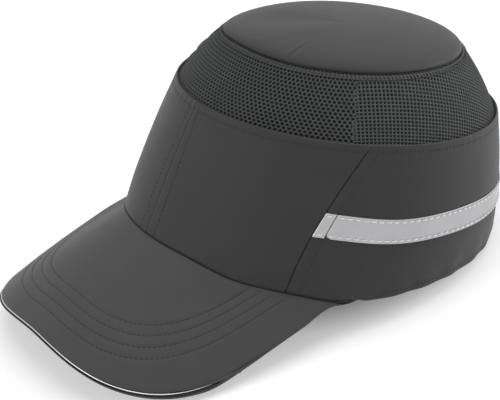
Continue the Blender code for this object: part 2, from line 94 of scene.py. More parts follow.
# Visor
VISOR_ROOT_HEIGHT = 0.02146
VISOR_SLOPE = 0.4462
VISOR_DROOP = 1.58
VISOR_ARCH_RADIUS = 0.107
VISOR_SET_IN = 0.003
VISOR_LENGTH = 0.0703
VISOR_SET_BACK = 0.031
VISOR_POWER = 2.75
VISOR_END_ANGLE = math.radians(104)
VISOR_ROOT_ANGLE = math.radians(68.2)
VISOR_DIP = 0.0028
VISOR_DIP_PLACE = 0.056
VISOR_DIP_WIDTH = 0.016
VISOR_DIP_REACH = 0.25
VISOR_COVER = 0.0006
VISOR_BOARD = 0.0014
VISOR_AT_HEM = 0.0042
VISOR_TUCK = 0.0014
VISOR_ROLL = 0.0022
VISOR_STITCH_LEVELS = (0.842, 0.793, 0.744, 0.696)
VISOR_STITCH_REACH = 1.045
VISOR_CLOSE = 0.95
VISOR_CLOSE_START = 0.94
VISOR_UPPER_CURL = 0.0005
VISOR_RIM_DEPTH = 0.0016
VISOR_BOARD_MARGIN = 0.0046
PIPING_RADIUS = 0.00036
PIPING_DEPTH = 0.0012
PIPING_REACH = -0.0021
PIPING_END_ANGLE = math.radians(78)
PIPING_TAPER = 0.85
PIPING_TAPER_START = 0.80
# A dark cord in the visor's seam, painted shade for the crevice
VISOR_SEAM_SHADE_RADIUS = 0.00042
VISOR_SEAM_SHADE_LIFT = 0.0002
VISOR_BOARD_END = 0.83
VISOR_BOARD_ROOT = 0.985
VISOR_UPPER_REACH = -0.0022
VISOR_LOWER_REACH = -0.0013
VISOR_END_REACH = -0.0013
VISOR_END_RIM = 0.0005
VISOR_PIPED_SPAN = (0.76, 0.86)
VISOR_PINCH = 0.80
VISOR_PINCH_SPAN = (0.82, 0.99)
VISOR_TUCK_SPAN = (VISOR_ROOT_ANGLE - 0.02, VISOR_ROOT_ANGLE - 0.12)
VISOR_FOOT_SPAN = (VISOR_ROOT_ANGLE + 0.05, VISOR_ROOT_ANGLE - 0.05)

# Rows of the visor's grid, and the grooves and puckers along its stitches
VISOR_ROLL_LIMIT = 0.3
VISOR_ROW_ROOM = 0.02
VISOR_ROW_COUNTS = (7, 9, 8, 8, 8, 18)
VISOR_GROOVE_SPAN = (0.001, 0.006)
VISOR_GROOVE_WIDTH = 0.0006
VISOR_STITCH_END = 0.004
VISOR_PUCKER = 0.00009
VISOR_PUCKERS = 130
VISOR_PUCKER_DRIFT = 9
VISOR_PUCKER_EVEN = 0.5
VISOR_PUCKER_PLACE = 0.016
VISOR_PUCKER_WIDTH = 0.012
VISOR_DRIFT = 0.00015
VISOR_DRIFT_SIZE = 0.014
VISOR_UNEVEN = (0.0005, 0.035)

# Reflective tape
TAPE_WIDTH = 0.0131
TAPE_HEIGHT = 0.0388
TAPE_FRONT_RISE = 0.014
TAPE_SAG = 0.0021
TAPE_SAG_ANGLE = math.radians(82)
TAPE_SAG_SPREAD = math.radians(18)
TAPE_TAB_ANGLE = math.radians(4)
TAPE_TAB_GAP = 0.0005
TAPE_CORNER = 0.0028
TAPE_STITCH_MARGIN = 0.0015
SILVER_THICKNESS = 0.00025
TAB_LIFT = 0.0003
TAPE_LIFT = 0.00045
TAPE_GROOVE = 0.00005
TAPE_STITCH_SPAN = (0.004, 0.996)
TAPE_STITCH_SIZE = 1.6
TAPE_THREAD_RADIUS = 0.0005
TAPE_THREAD_LIFT = 0.00025

# Hem, rear opening and strap
HEM_TAPE_WIDTH = 0.012
SWEATBAND_WIDTH = 0.027
SWEATBAND_THICKNESS = 0.0018
SWEATBAND_SAG = 0.0042
SWEATBAND_SAG_ANGLE = VISOR_ROOT_ANGLE + 0.06
HEM_LIFT = 0.0036
HEM_LIFT_ANGLE = VISOR_ROOT_ANGLE + 0.04
HEM_LIFT_SPREAD = 0.09
HEM_TAPE_MARGIN = math.radians(6)
HEM_MARGIN = 0.001
OPENING_RADIUS = 0.040
BINDING_WIDTH = 0.0055
BINDING_THICKNESS = 0.0005
BINDING_STITCH = 0.0043
BINDING_LIFT = 0.0008
BINDING_ROOM = 0.0001
BINDING_EDGE = 0.0003
BINDING_FOLD = ((0.7, 0.0004), (1.0, -0.0003), (1.0, -CLOTH))
BINDING_STITCH_SPAN = (0.02, math.pi - 0.02)
STRAP_STITCH_MARGIN = 0.0024
STRAP_ARC_EASE = 0.003
STRAP_WIDTH = 0.018
STRAP_LIFT = 0.002
STRAP_THICKNESS = 0.0012
STRAP_POCKET_ROOM = 0.0018
PATCH_THICKNESS = 0.001
PATCH_MARGIN = 0.0015
HOOK_STRAP_REACH = (math.radians(-40), math.radians(6))
PULL_TAB_LENGTH = math.radians(10)
LOOP_STRAP_REACH = (math.radians(-16), math.radians(42))
LOOP_PATCH_REACH = (math.radians(-15), math.radians(20))

# Protective shell and its foam
SHELL_THICKNESS = 0.0022
SHELL_RIM_CLEARANCE = 0.0093
SHELL_RIM_HEIGHT = 0.041
SHELL_RIM_WAVE = 0.007
SHELL_RIM_FRONT_RISE = 0.006
SHELL_CLEARANCE = 0.0039
SHELL_TOP_CLEARANCE = 0.0026
SHELL_SWELL = 0.003
SHELL_COLUMNS = 48
SHELL_ROWS = 4
VENT_EVERY = 4
PAD_THICKNESS = 0.005
PAD_HALF_ANGLE = math.radians(27)
PAD_SHARES = (0.15, 0.85)
PAD_EDGE = 0.25
PAD_POWER = 5
PAD_CHANNEL = (0.25, 0.03)
CROWN_PAD_THICKNESS = 0.006
CROWN_PAD_SHARE = 2.35
CROWN_PAD_EDGE = 0.3
CROWN_PAD_POWER = 6
SHELL_NEAR_MIDDLE = 2.995
INSERT_PATCH_HALF_ANGLE = math.radians(11)
INSERT_PATCH_FOOT = 0.058
INSERT_PATCH_WIDTH = 0.017
INSERT_PATCH_THICKNESS = 0.0008

# Net: the pitch of its holes, and the fan that the rear pieces are cut to
NET_SEAM = math.radians(63)
NET_PITCH = 0.00236
REAR_PITCH = 0.0021
NET_HOLE = 0.70
NET_CORNER = 0.80
NET_YARN = 0.0002
NET_STAGGER = 1 / 6
FRONT_NET_ROWS = 21
FRONT_NET_TUCK = 0.6
REAR_NET_SPAN = (-0.02, 1.04)
STRIP_FOOT = 0.915
STRIP_ROWS = 2
STRIP_LIFT = 0.0003
NET_BACKING = 0.0003
NET_BACKING_GAP = 0.0001
FAN_SHARE = 0.603
FAN_BASE = 0.1468
FAN_DEPTH = 0.044
FAN_STRAIGHT_GRAIN = math.radians(74)

# Sewing: thread, and the distance of each line of stitches from the edge that it follows
STITCH_PITCH = 0.0028
STITCH_LENGTH = 0.0022
STITCH_RADIUS = 0.00027
GROOVE_WIDTH = 0.0005
GROOVE_DEPTH = 0.00035
STITCH_RISE = 0.5
STITCH_DIVE = 1.1
FRONT_STITCH = 0.0064
FRONT_STITCH_CLOSE = 0.0026
SIDE_STITCH = 0.0066
TOP_STITCH = 0.0034
HEM_STITCH = 0.0034

# The small tuck in the top cloth, and where its edge slumps
TUCK_ANGLE = math.radians(27)
TUCK_END = 0.70
SLUMP = 0.0060
SLUMP_DROP = 0.0015
SLUMP_ANGLE = math.radians(-38)
SLUMP_SPREAD = math.radians(24)

# Shares of the full relief that the drawn wall and top keep
WALL_RELIEF = 0.33
TOP_EDGE_RELIEF = 0.03
TOP_RELIEF = 0.085

# Relief of the wall: each form's height, and its width or the distance between its bumps
SEAM_FOLD = (0.0003, 0.001)
SEAM_VALLEY = (0.0004, 0.0007)
SIDE_STEP = (0.0003, 0.005)
SIDE_VALLEY = (0.0010, 0.0009)
VISOR_VALLEY = (0.0008, 0.0016)
VISOR_VALLEY_SPAN = (VISOR_ROOT_ANGLE + 0.1, VISOR_ROOT_ANGLE)
TOP_FOLD = 0.0005
TOP_FOLD_SPAN = (TOP_STITCH + 0.0008, TOP_STITCH - 0.0004)
TOP_GROOVE = (2 * GROOVE_DEPTH, 1.8 * GROOVE_WIDTH)
HEM_GROOVE = (0.5 * GROOVE_DEPTH, GROOVE_WIDTH)
FRONT_PUCKER = (0.00026, 0.005)
FRONT_PUCKER_PLACE = 0.6
SIDE_PUCKER = (0.00030, 0.006)
TOP_PUCKER = (0.00036, 0.005)
TOP_PUCKERS = 95
PUCKER_PITCH = 0.0014
PUCKER_DRIFT = 4
PUCKER_EVEN = 0.6
HEM_WAVE = (0.0009, 0.012)
HEM_WAVES = 31
HEM_WAVE_SPAN = (1.15, 1.35)
WALL_UNEVEN = (0.0010, 0.05)
WALL_FINE = (0.0003, 0.018)
WALL_FINE_SHIFT = 0.5
DRIFT_SIZE = 0.02

# Relief of the top, with places as shares of the way in or as distances from the tuck
RIM_DROP = 0.0012
RIM_DROP_END = 0.03
RIM_PUCKER = 0.0004
RIM_PUCKERS = 52
RIM_PUCKER_END = 0.20
TOP_UNEVEN = (0.0008, 0.035)
TUCK_START_SPAN = (0.02, 0.15)
TUCK_END_SPAN = (TUCK_END, 0.3)
TUCK_RIDGE = (0.0018, 0.0018)
TUCK_RIDGE_PLACE = -0.0014
TUCK_VALLEY = (0.0026, 0.0010)
TUCK_VALLEY_PLACE = 0.0010

# Relief of the net
NET_UNEVEN = (0.00007, 0.03)
NET_FOLD = 0.0006
NET_FOLDS = 26
NET_FOLD_DRIFT = 5
NET_FOLD_ANGLE = -0.60
NET_FOLD_SPREAD = 0.42
NET_FOOT_SWELL = (0.00012, 0.09)
NET_FOOT_PLACE = 0.13
NET_TOP_DROP = 0.0013
NET_TOP_SPAN = (0.93, 1.0)
NET_UNDER_TOP = 0.7

TINY = 1e-9
STEP = 1e-4
NEARLY = 0.99
BACK = math.pi
FULL_TURN = 2 * math.pi
QUARTER_TURN = math.pi / 2
HEM_BACK_RADIUS = HEM_HALF_WIDTH ** 2 / HEM_HALF_LENGTH
STRAP_ARC_RADIUS = HEM_BACK_RADIUS + STRAP_ARC_EASE
STRAP_AXIS_Y = HEM_CENTRE_Y + HEM_HALF_LENGTH - STRAP_ARC_RADIUS
VISOR_ROOT_Y = HEM_CENTRE_Y - HEM_HALF_LENGTH
VISOR_CENTRE_Y = VISOR_ROOT_Y + VISOR_SET_BACK
VISOR_HALF_LENGTH = VISOR_LENGTH + VISOR_SET_BACK
VISOR_HALF_WIDTH = HEM_HALF_WIDTH - VISOR_SET_IN
VISOR_STACK = 2 * VISOR_COVER + VISOR_BOARD + FIT
SWEATBAND_INSET = CLOTH + FIT + STRAP_THICKNESS + STRAP_POCKET_ROOM
OPENING_ANGLE = math.asin((OPENING_RADIUS + HEM_MARGIN) / HEM_HALF_WIDTH)

# Where the rows of stitches on the crown start and end, as shares of its height or as angles
BESIDE_SEAM = 0.06
FRONT_ROW_MARGIN = 0.01
BACK_ROW_MARGIN = 0.08
ROW_HEAD = 0.955
SIDE_ROW_FOOT = 0.012
SIDE_ROW_END = TOP_STITCH / 0.09
HEM_ROW_SPAN = (VISOR_ROOT_ANGLE + 0.2, BACK - OPENING_ANGLE - 0.1)

HEAD = frame["record"]["mounts"][0]
CAP_ORIGIN = np.array(HEAD["pos_m"])
CAP_UP = -np.array(HEAD["axis"])
CAP_RIGHT = np.array((1.0, 0.0, 0.0))
CAP_AXES = np.stack([CAP_RIGHT, np.cross(CAP_UP, CAP_RIGHT), CAP_UP])


def to_world(points):
    return points @ CAP_AXES + CAP_ORIGIN


# Small helpers on arrays


def unit(vectors):
    return vectors / np.maximum(np.linalg.norm(vectors, axis=-1, keepdims=True), TINY)


def mixed(start, end, share):
    return start + (end - start) * np.asarray(share)[..., None]


def ease(low, high, value):
    share = np.clip((value - low) / (high - low), 0, 1)
    return share * share * (3 - 2 * share)


def ridge(distance, width):
    return np.exp(-(distance / width) ** 2)


def steps(*spans):
    """Grid lines, from spans of (start, end, count)."""
    lines = [np.linspace(start, end, count, endpoint=False) for start, end, count in spans]
    return np.concatenate(lines + [np.array([spans[-1][1]])])


def wavy(points, size):
    """Smooth noise over points, whose bumps are about the given size apart."""
    flat = points.reshape(-1, 3) / size
    values = [noise.noise(Vector(point)) for point in flat]
    return np.array(values).reshape(points.shape[:-1])


def wrapped(angle):
    """The same angle between minus and plus half a turn."""
    return (np.asarray(angle) + BACK) % FULL_TURN - BACK


# Surfaces of the crown, the visor and the shell, without seams and folds


def outward(angle):
    return np.stack([np.sin(angle), -np.cos(angle), np.zeros_like(angle)], axis=-1)


def ellipse(half_width, half_length, centre_y, angle, height):
    across = half_width * np.sin(angle)
    return np.stack([across, centre_y - half_length * np.cos(angle), height + 0 * across], axis=-1)


def visor_height(x, y):
    forward = VISOR_ROOT_Y - y
    arch_drop = VISOR_ARCH_RADIUS - np.sqrt(VISOR_ARCH_RADIUS ** 2 - x ** 2)
    from_root = np.hypot(x / HEM_HALF_WIDTH, (y - HEM_CENTRE_Y) / HEM_HALF_LENGTH) - 1
    beside = ridge(np.abs(x) - VISOR_DIP_PLACE, VISOR_DIP_WIDTH)
    dip = VISOR_DIP * beside * ridge(from_root, VISOR_DIP_REACH)
    return VISOR_ROOT_HEIGHT - VISOR_SLOPE * forward - VISOR_DROOP * forward ** 2 - arch_drop - dip


def visor_normal(x, y):
    """The normal of the visor's upper face, as if it had no dip."""
    slope_x = -x / np.sqrt(VISOR_ARCH_RADIUS ** 2 - x ** 2)
    slope_y = VISOR_SLOPE + 2 * VISOR_DROOP * (VISOR_ROOT_Y - y)
    return unit(np.stack([-slope_x, -slope_y, np.ones_like(slope_x)], axis=-1))


def visor_depth(x, y, depth):
    return visor_height(x, y) - depth / visor_normal(x, y)[..., 2]


def hem_point(angle):
    point = ellipse(HEM_HALF_WIDTH, HEM_HALF_LENGTH, HEM_CENTRE_Y, angle, 0.0)
    under_visor = np.maximum(0, visor_depth(point[..., 0], point[..., 1], VISOR_AT_HEM))
    point[..., 2] = np.where(np.cos(angle) > 0, under_visor, 0)
    return point


def band_point(angle):
    height = BAND_HEIGHT + BAND_FRONT_RISE * np.cos(angle)
    return ellipse(BAND_HALF_WIDTH, BAND_HALF_LENGTH, BAND_CENTRE_Y, angle, height)


def top_point(angle):
    height = TOP_HEIGHT + TOP_FRONT_RISE * np.cos(angle)
    return ellipse(TOP_HALF_WIDTH, TOP_HALF_LENGTH, TOP_CENTRE_Y, angle, height)


def top_ring(angle):
    """The top cloth's edge: its front slumps outwards on the wearer's right."""
    slump = ridge(wrapped(angle) - SLUMP_ANGLE, SLUMP_SPREAD)[..., None]
    return top_point(angle) + slump * (SLUMP * outward(angle) - np.array([0, 0, SLUMP_DROP]))


def swollen(lower, upper, angle, share, swell_width, swell_length):
    swell = 4 * share * (1 - share)
    bulge = np.stack([swell_width * np.sin(angle), -swell_length * np.cos(angle), 0 * angle], axis=-1)
    return mixed(lower, upper, share) + bulge * np.asarray(swell)[..., None]


def wall(angle, share):
    lower, upper = hem_point(angle), band_point(angle)
    return swollen(lower, upper, angle, share, WALL_SWELL_WIDTH, WALL_SWELL_LENGTH)


def wall_share(angle, height):
    foot = hem_point(angle)[..., 2]
    return (height - foot) / (band_point(angle)[..., 2] - foot)


def domed(rim, angle, share, dome):
    ends = rim(np.array([0.0, BACK]))
    centre = np.array([0, TOP_CENTRE_Y, ends[:, 2].mean()])
    point = mixed(centre, rim(angle), np.cos(share * QUARTER_TURN))
    point[..., 2] += dome * np.sin(share * QUARTER_TURN)
    return point


def top(angle, share):
    return domed(top_ring, angle, share, TOP_DOME)


def normal_of(surface, angle, share):
    along = surface(angle + STEP, share) - surface(angle - STEP, share)
    up = surface(angle, share + STEP) - surface(angle, share - STEP)
    return unit(np.cross(unit(along), unit(up)))


def inset(surface, depth):
    """The same surface, moved inwards by a depth."""
    def moved(angle, share):
        return surface(angle, share) - normal_of(surface, angle, share) * depth
    return moved


def mesh_foot(angle):
    share = 1 - MESH_LAP / np.linalg.norm(band_point(angle) - hem_point(angle), axis=-1)
    return inset(wall, CLOTH + FIT)(angle, share)


def mesh(angle, share):
    return swollen(mesh_foot(angle), top_ring(angle), angle, share, MESH_SWELL, MESH_SWELL)


def side_seam(share):
    return SIDE_SEAM_FOOT + SIDE_SEAM_SWEEP * np.maximum(share, 0) ** SIDE_SEAM_POWER


def shell_rim(angle):
    wave = SHELL_RIM_WAVE * np.cos(2 * angle) + SHELL_RIM_FRONT_RISE * np.cos(angle)
    beside = wall(angle, wall_share(angle, SHELL_RIM_HEIGHT + wave))
    return beside - outward(angle) * SHELL_RIM_CLEARANCE


def shell_shoulder(angle):
    return band_point(angle) - outward(angle) * SHELL_CLEARANCE - np.array([0, 0, NET_THICKNESS])


def shell_top_rim(angle):
    return top_point(angle) - outward(angle) * SHELL_TOP_CLEARANCE - np.array([0, 0, SHELL_TOP_CLEARANCE])


def shell(angle, share):
    """The shell's outside: its rim is at share 0, its shoulder at 1, its top's edge at 2, its middle at 3."""
    rim, shoulder, edge = shell_rim(angle), shell_shoulder(angle), shell_top_rim(angle)
    side = swollen(rim, shoulder, angle, share, SHELL_SWELL, SHELL_SWELL / 3)
    slope = swollen(shoulder, edge, angle, share - 1, MESH_SWELL, MESH_SWELL)
    dome = domed(shell_top_rim, angle, np.clip(share - 2, 0, 1), TOP_DOME - CLOTH)
    return np.where((share < 1)[..., None], side, np.where((share < 2)[..., None], slope, dome))


def strap_arc(radius):
    def surface(angle, height):
        return ellipse(radius, radius, STRAP_AXIS_Y, angle, height)
    return surface


# The finished outside of the cloth, with its folds, seams and softness


def girth(angle, share):
    """Metres of cloth for each radian round the crown."""
    width = HEM_HALF_WIDTH + (BAND_HALF_WIDTH - HEM_HALF_WIDTH) * share
    length = HEM_HALF_LENGTH + (BAND_HALF_LENGTH - HEM_HALF_LENGTH) * share
    return np.hypot(width * np.cos(angle), length * np.sin(angle))


def wall_length(angle):
    return np.linalg.norm(band_point(angle) - hem_point(angle), axis=-1)


def front_stitch(share):
    """How far the centre seam's stitches lie from it: they close in towards the top."""
    return FRONT_STITCH - FRONT_STITCH_CLOSE * np.clip(share, 0, 1) ** 3


def form(size, distance):
    """A ridge of some height and width."""
    height, width = size
    return height * ridge(distance, width)


def bumps(size, points):
    """Smooth noise of some height, whose bumps are some distance apart."""
    height, spacing = size
    return height * wavy(points, spacing)


def seam_relief(distance, line):
    """A seam at distance 0 whose folded edges are stitched down along a line beside it."""
    height, edge = SEAM_FOLD
    band = height * ease(line + edge, line - edge, distance) * ease(0, edge, distance)
    return band - GROOVE_DEPTH * ridge(distance - line, GROOVE_WIDTH)


def wall_relief(angle, share, points):
    angle = wrapped(angle)
    side = np.abs(angle)
    metres = girth(angle, share)
    from_front = side * HEM_HALF_WIDTH
    from_side = (side - side_seam(share)) * metres
    from_back = (BACK - side) * metres
    from_top = (1 - share) * wall_length(angle)
    from_hem = share * wall_length(angle)
    from_foot = (share - panel_foot(angle)) * wall_length(angle)
    relief = seam_relief(from_front, front_stitch(share)) + seam_relief(from_back, FRONT_STITCH)
    relief -= form(SEAM_VALLEY, from_front) + form(SEAM_VALLEY, from_back)
    relief += np.where(from_side > 0, seam_relief(from_side, SIDE_STITCH), 0)
    relief += np.where(from_side > 0, -1, 1) * form(SIDE_STEP, from_side)
    relief -= form(SIDE_VALLEY, from_side)
    relief += TOP_FOLD * ease(*TOP_FOLD_SPAN, from_top)
    relief -= form(TOP_GROOVE, from_top - TOP_STITCH) + form(HEM_GROOVE, from_hem - HEM_STITCH)
    relief -= form(VISOR_VALLEY, from_foot) * ease(*VISOR_VALLEY_SPAN, side)
    drift = wavy(points, DRIFT_SIZE)
    pucker = np.sin(points[..., 2] / PUCKER_PITCH + PUCKER_DRIFT * drift) * (PUCKER_EVEN + drift)
    relief += pucker * form(FRONT_PUCKER, from_front - FRONT_PUCKER_PLACE * front_stitch(share))
    relief += pucker * form(SIDE_PUCKER, from_side - SIDE_STITCH / 2)
    around = np.sin(side * TOP_PUCKERS + PUCKER_DRIFT * drift) * (PUCKER_EVEN + drift)
    relief += around * form(TOP_PUCKER, from_top - TOP_STITCH)
    wave = np.sin(side * HEM_WAVES + 2 * drift) * ease(*HEM_WAVE_SPAN, side)
    relief += wave * form(HEM_WAVE, from_hem)
    relief += bumps(WALL_UNEVEN, points) + bumps(WALL_FINE, points + WALL_FINE_SHIFT)
    return WALL_RELIEF * relief


def skin(angle, share):
    """The crown's cloth as it shows."""
    points = wall(angle, share)
    relief = wall_relief(angle, share, points)
    return points + normal_of(wall, angle, share) * relief[..., None]


def panel_foot(angle):
    """The share where the cloth meets the visor's upper face, or the hem beside the visor."""
    side = np.abs(wrapped(angle))
    share = np.zeros_like(side)
    for _ in range(4):
        point = wall(angle, share)
        inner = np.clip(point[..., 0], -NEARLY * VISOR_ARCH_RADIUS, NEARLY * VISOR_ARCH_RADIUS)
        share = np.maximum(0, wall_share(angle, visor_height(inner, point[..., 1])))
    beside_visor = share * ease(*VISOR_FOOT_SPAN, side)
    lift = HEM_LIFT * ridge(side - HEM_LIFT_ANGLE, HEM_LIFT_SPREAD)
    return np.maximum(beside_visor, lift / wall_length(angle))


def opening_foot(angle):
    """The share of the rear opening's edge, or the hem beside it."""
    share = np.zeros_like(angle)
    for _ in range(6):
        across = wall(angle, share)[..., 0]
        height = np.sqrt(np.maximum(OPENING_RADIUS ** 2 - across ** 2, 0))
        share = wall_share(angle, height)
    return share


def disc_relief(angle, share, points):
    rim = ease(RIM_PUCKER_END, 0, share)
    drift = wavy(points, DRIFT_SIZE)
    pucker = np.sin(angle * RIM_PUCKERS + PUCKER_DRIFT * drift) * (PUCKER_EVEN + drift)
    relief = -RIM_DROP * ease(RIM_DROP_END, 0, share) + RIM_PUCKER * rim * pucker
    relief += bumps(TOP_UNEVEN, points) * ease(0, RIM_PUCKER_END, share)
    tuck = wrapped(angle - TUCK_ANGLE) * TOP_HALF_WIDTH
    along = ease(*TUCK_START_SPAN, share) * ease(*TUCK_END_SPAN, share)
    fold = form(TUCK_RIDGE, tuck - TUCK_RIDGE_PLACE) - form(TUCK_VALLEY, tuck - TUCK_VALLEY_PLACE)
    relief += along * fold
    return (TOP_EDGE_RELIEF + TOP_RELIEF * np.sin(math.pi * share)) * relief


def mesh_relief(angle, share):
    angle = wrapped(angle)
    points = mesh(angle, np.clip(share, 0, 1))
    height, spacing = NET_UNEVEN
    drift = wavy(points, spacing)
    fold = np.sin(NET_FOLDS * share + NET_FOLD_DRIFT * drift) * np.sin(math.pi * np.clip(share, 0, 1))
    relief = height * drift + NET_FOLD * fold * ridge(angle - NET_FOLD_ANGLE, NET_FOLD_SPREAD)
    relief += form(NET_FOOT_SWELL, share - NET_FOOT_PLACE)
    relief -= NET_TOP_DROP * ease(*NET_TOP_SPAN, share)
    return relief


def net_skin(angle, share):
    """The net's outside. Above share 1 it runs on under the top cloth's edge."""
    below = mesh(angle, np.minimum(share, 1))
    below = below + normal_of(mesh, angle, np.minimum(share, 1)) * mesh_relief(angle, share)[..., None]
    under = top(angle, np.maximum(share - 1, 0) * NET_UNDER_TOP) - np.array([0, 0, CLOTH + FIT])
    return np.where((share > 1)[..., None], under, below)


# Meshes


def add_mesh(name, points, faces, finish, body, slot):
    data = bpy.data.meshes.new(name)
    data.from_pydata(to_world(points).tolist(), [], faces)
    data.materials.append(FINISHES[finish])
    data.shade_smooth()
    item = bpy.data.objects.new(name, data)
    bpy.context.scene.collection.objects.link(item)
    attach(item, body)
    return item


def grid_faces(index):
    quads = np.stack([index[:-1, :-1], index[1:, :-1], index[1:, 1:], index[:-1, 1:]], axis=-1)
    return quads.reshape(-1, 4)


def rim_lines(columns, rows, wraps, pole):
    """The grid's border, counter-clockwise, as runs of (column, row)."""
    foot = [(column, 0) for column in range(columns)]
    head = [(column, rows - 1) for column in reversed(range(columns))]
    if wraps:
        return [foot] if pole else [foot, head]
    right = [(columns - 1, row) for row in range(rows)]
    left = [(0, row) for row in reversed(range(rows))]
    return [foot + right[1:] + head[1:] + left[1:]]


def rim_outward(front, wraps):
    away = np.zeros_like(front)
    away[:, 0] += unit(front[:, 0] - front[:, 1])
    away[:, -1] += unit(front[:, -1] - front[:, -2])
    if not wraps:
        away[0] += unit(front[0] - front[1])
        away[-1] += unit(front[-1] - front[-2])
    return unit(away)


def arc_lengths(front):
    along = np.zeros(front.shape[:2])
    up = np.zeros(front.shape[:2])
    along[1:] = np.cumsum(np.linalg.norm(np.diff(front, axis=0), axis=-1), axis=0)
    up[:, 1:] = np.cumsum(np.linalg.norm(np.diff(front, axis=1), axis=-1), axis=1)
    return along, up


def add_cloth(name, finish, slot, front, normal, thickness, body="cap", wraps=False, pole=False):
    """A closed sheet from a grid of outside points, thickened inwards, with rounded edges."""
    columns, rows = front.shape[:2]
    back = front - normal * np.asarray(thickness)[..., None]
    index = np.arange(columns * rows).reshape(columns, rows)
    faces = np.concatenate([grid_faces(index), grid_faces(index + index.size)[:, ::-1]]).tolist()
    middle = (front + back) / 2 + rim_outward(front, wraps) * EDGE_BULGE * np.mean(thickness)
    points = [front.reshape(-1, 3), back.reshape(-1, 3)]
    sources = [index.ravel(), index.ravel()]
    count = 2 * index.size
    for line in rim_lines(columns, rows, wraps, pole):
        rim = [index[place] for place in line]
        points.append(np.array([middle[place] for place in line]))
        sources.append(np.array(rim))
        for here in range(len(rim) - 1):
            a, b = rim[here], rim[here + 1]
            faces.append([b, a, count + here, count + here + 1])
            faces.append([count + here + 1, count + here, a + index.size, b + index.size])
        count += len(rim)
    item = add_mesh(name, np.concatenate(points), faces, finish, body, slot)
    along, up = arc_lengths(front)
    source = np.concatenate(sources)
    uv = np.stack([along.ravel()[source], up.ravel()[source]], axis=-1)
    corners = np.array([loop.vertex_index for loop in item.data.loops])
    item.data.uv_layers.new(name="Weave").data.foreach_set("uv", uv[corners].ravel())
    weld(item)
    return item


def weld(item):
    """Joins the points that coincide where a sheet closes on itself."""
    shape = bmesh.new()
    shape.from_mesh(item.data)
    bmesh.ops.remove_doubles(shape, verts=shape.verts[:], dist=WELD_DISTANCE)
    shape.to_mesh(item.data)
    shape.free()
    item.data.shade_smooth()


def declare_cloth(front, flat=None):
    """Works out the flat size a piece of cloth is cut to, that of its grid where none is given; the size is
    not used.
    """
    along, up = arc_lengths(front)
    width, length = flat or (along[-1].max(), up[:, -1].max())
    width, length = max(width, LEAST_SIDE), max(length, LEAST_SIDE)


def lay(surface, place, us, vs):
    """A grid's points and normals on a surface; place maps its shares to the surface's own two values."""
    u, v = np.meshgrid(us, vs, indexing="ij")
    angle, share = place(u, v)
    return surface(angle, share), normal_of(surface, angle, share)


def patch(start, end, low, high):
    """Grid shares to a patch of a surface, whose four sides are rules of the other value."""
    def place(u, v):
        def height(angle):
            return low(angle) + (high(angle) - low(angle)) * v

        first, last = start(0.5 + 0 * v), end(0.5 + 0 * v)
        for _ in range(8):
            first, last = start(height(first)), end(height(last))
        angle = first + (last - first) * u
        return angle, height(angle)
    return place


def fixed(value):
    return lambda other: value + 0 * np.asarray(other)


def mirrored(rule):
    return lambda share: FULL_TURN - rule(share)


def beside(rule, shift):
    """A side of a patch, moved round by an angle."""
    return lambda share: rule(share) + shift


def both_sides(start, end, low, high, columns):
    """A patch on the wearer's left and its mirror image on the right, each with its grid's columns."""
    return (("left", patch(start, end, low, high), columns),
            ("right", patch(mirrored(end), mirrored(start), low, high), 1 - columns[::-1]))


CAPSULE_RINGS = ((-0.72, 0.8), (0.0, 1.0), (0.72, 0.8))
CAPSULE_SIDES = 6


def capsule():
    """Points of a stitch as (along, across, up), and its faces."""
    turns = np.arange(CAPSULE_SIDES) * FULL_TURN / CAPSULE_SIDES
    points = [(-1.0, 0.0, 0.0)]
    for along, radius in CAPSULE_RINGS:
        points += [(along, radius * math.cos(turn), radius * math.sin(turn)) for turn in turns]
    points.append((1.0, 0.0, 0.0))
    last = len(points) - 1
    faces = []
    for side in range(CAPSULE_SIDES):
        after = (side + 1) % CAPSULE_SIDES
        faces.append([0, 1 + after, 1 + side])
        faces.append([last, last - CAPSULE_SIDES + side, last - CAPSULE_SIDES + after])
        for ring in range(len(CAPSULE_RINGS) - 1):
            base = 1 + ring * CAPSULE_SIDES
            above = base + CAPSULE_SIDES
            faces.append([base + side, base + after, above + after, above + side])
    return np.array(points), faces


def add_stitches(name, finish, slot, runs, body="cap", radius=STITCH_RADIUS, lift=0.0, size=1.0):
    """Rows of stitches; each run is a line of points and the normals of the cloth there."""
    shape, shape_faces = capsule()
    points, faces = [], []
    for line, normals in runs:
        reach = np.concatenate([[0], np.cumsum(np.linalg.norm(np.diff(line, axis=0), axis=-1))])
        count = max(1, int(reach[-1] / (STITCH_PITCH * size)))
        middles = (np.arange(count) + 0.5) * reach[-1] / count

        def along(values, places):
            return np.stack([np.interp(places, reach, values[:, axis]) for axis in range(3)], axis=-1)

        centre = along(line, middles)
        tangent = unit(along(line, middles + STEP) - along(line, middles - STEP))
        normal = unit(along(normals, middles))
        across = unit(np.cross(normal, tangent))
        rise = lift + radius * (STITCH_RISE - STITCH_DIVE * shape[:, 0] ** 2)
        placed = centre[:, None] + tangent[:, None] * shape[None, :, :1] * STITCH_LENGTH * size / 2
        placed = placed + across[:, None] * shape[None, :, 1:2] * radius
        placed = placed + normal[:, None] * (shape[:, 2] * radius + rise)[None, :, None]
        for stitch in placed:
            base = len(points) * len(shape)
            points.append(stitch)
            faces += [[base + corner for corner in face] for face in shape_faces]
    return add_mesh(name, np.concatenate(points), faces, finish, body, slot)


def run_on(surface, angles, shares):
    angles = np.asarray(angles) + 0 * np.asarray(shares)
    shares = np.asarray(shares) + 0 * angles
    return surface(angles, shares), normal_of(wall, angles, shares)


# Materials


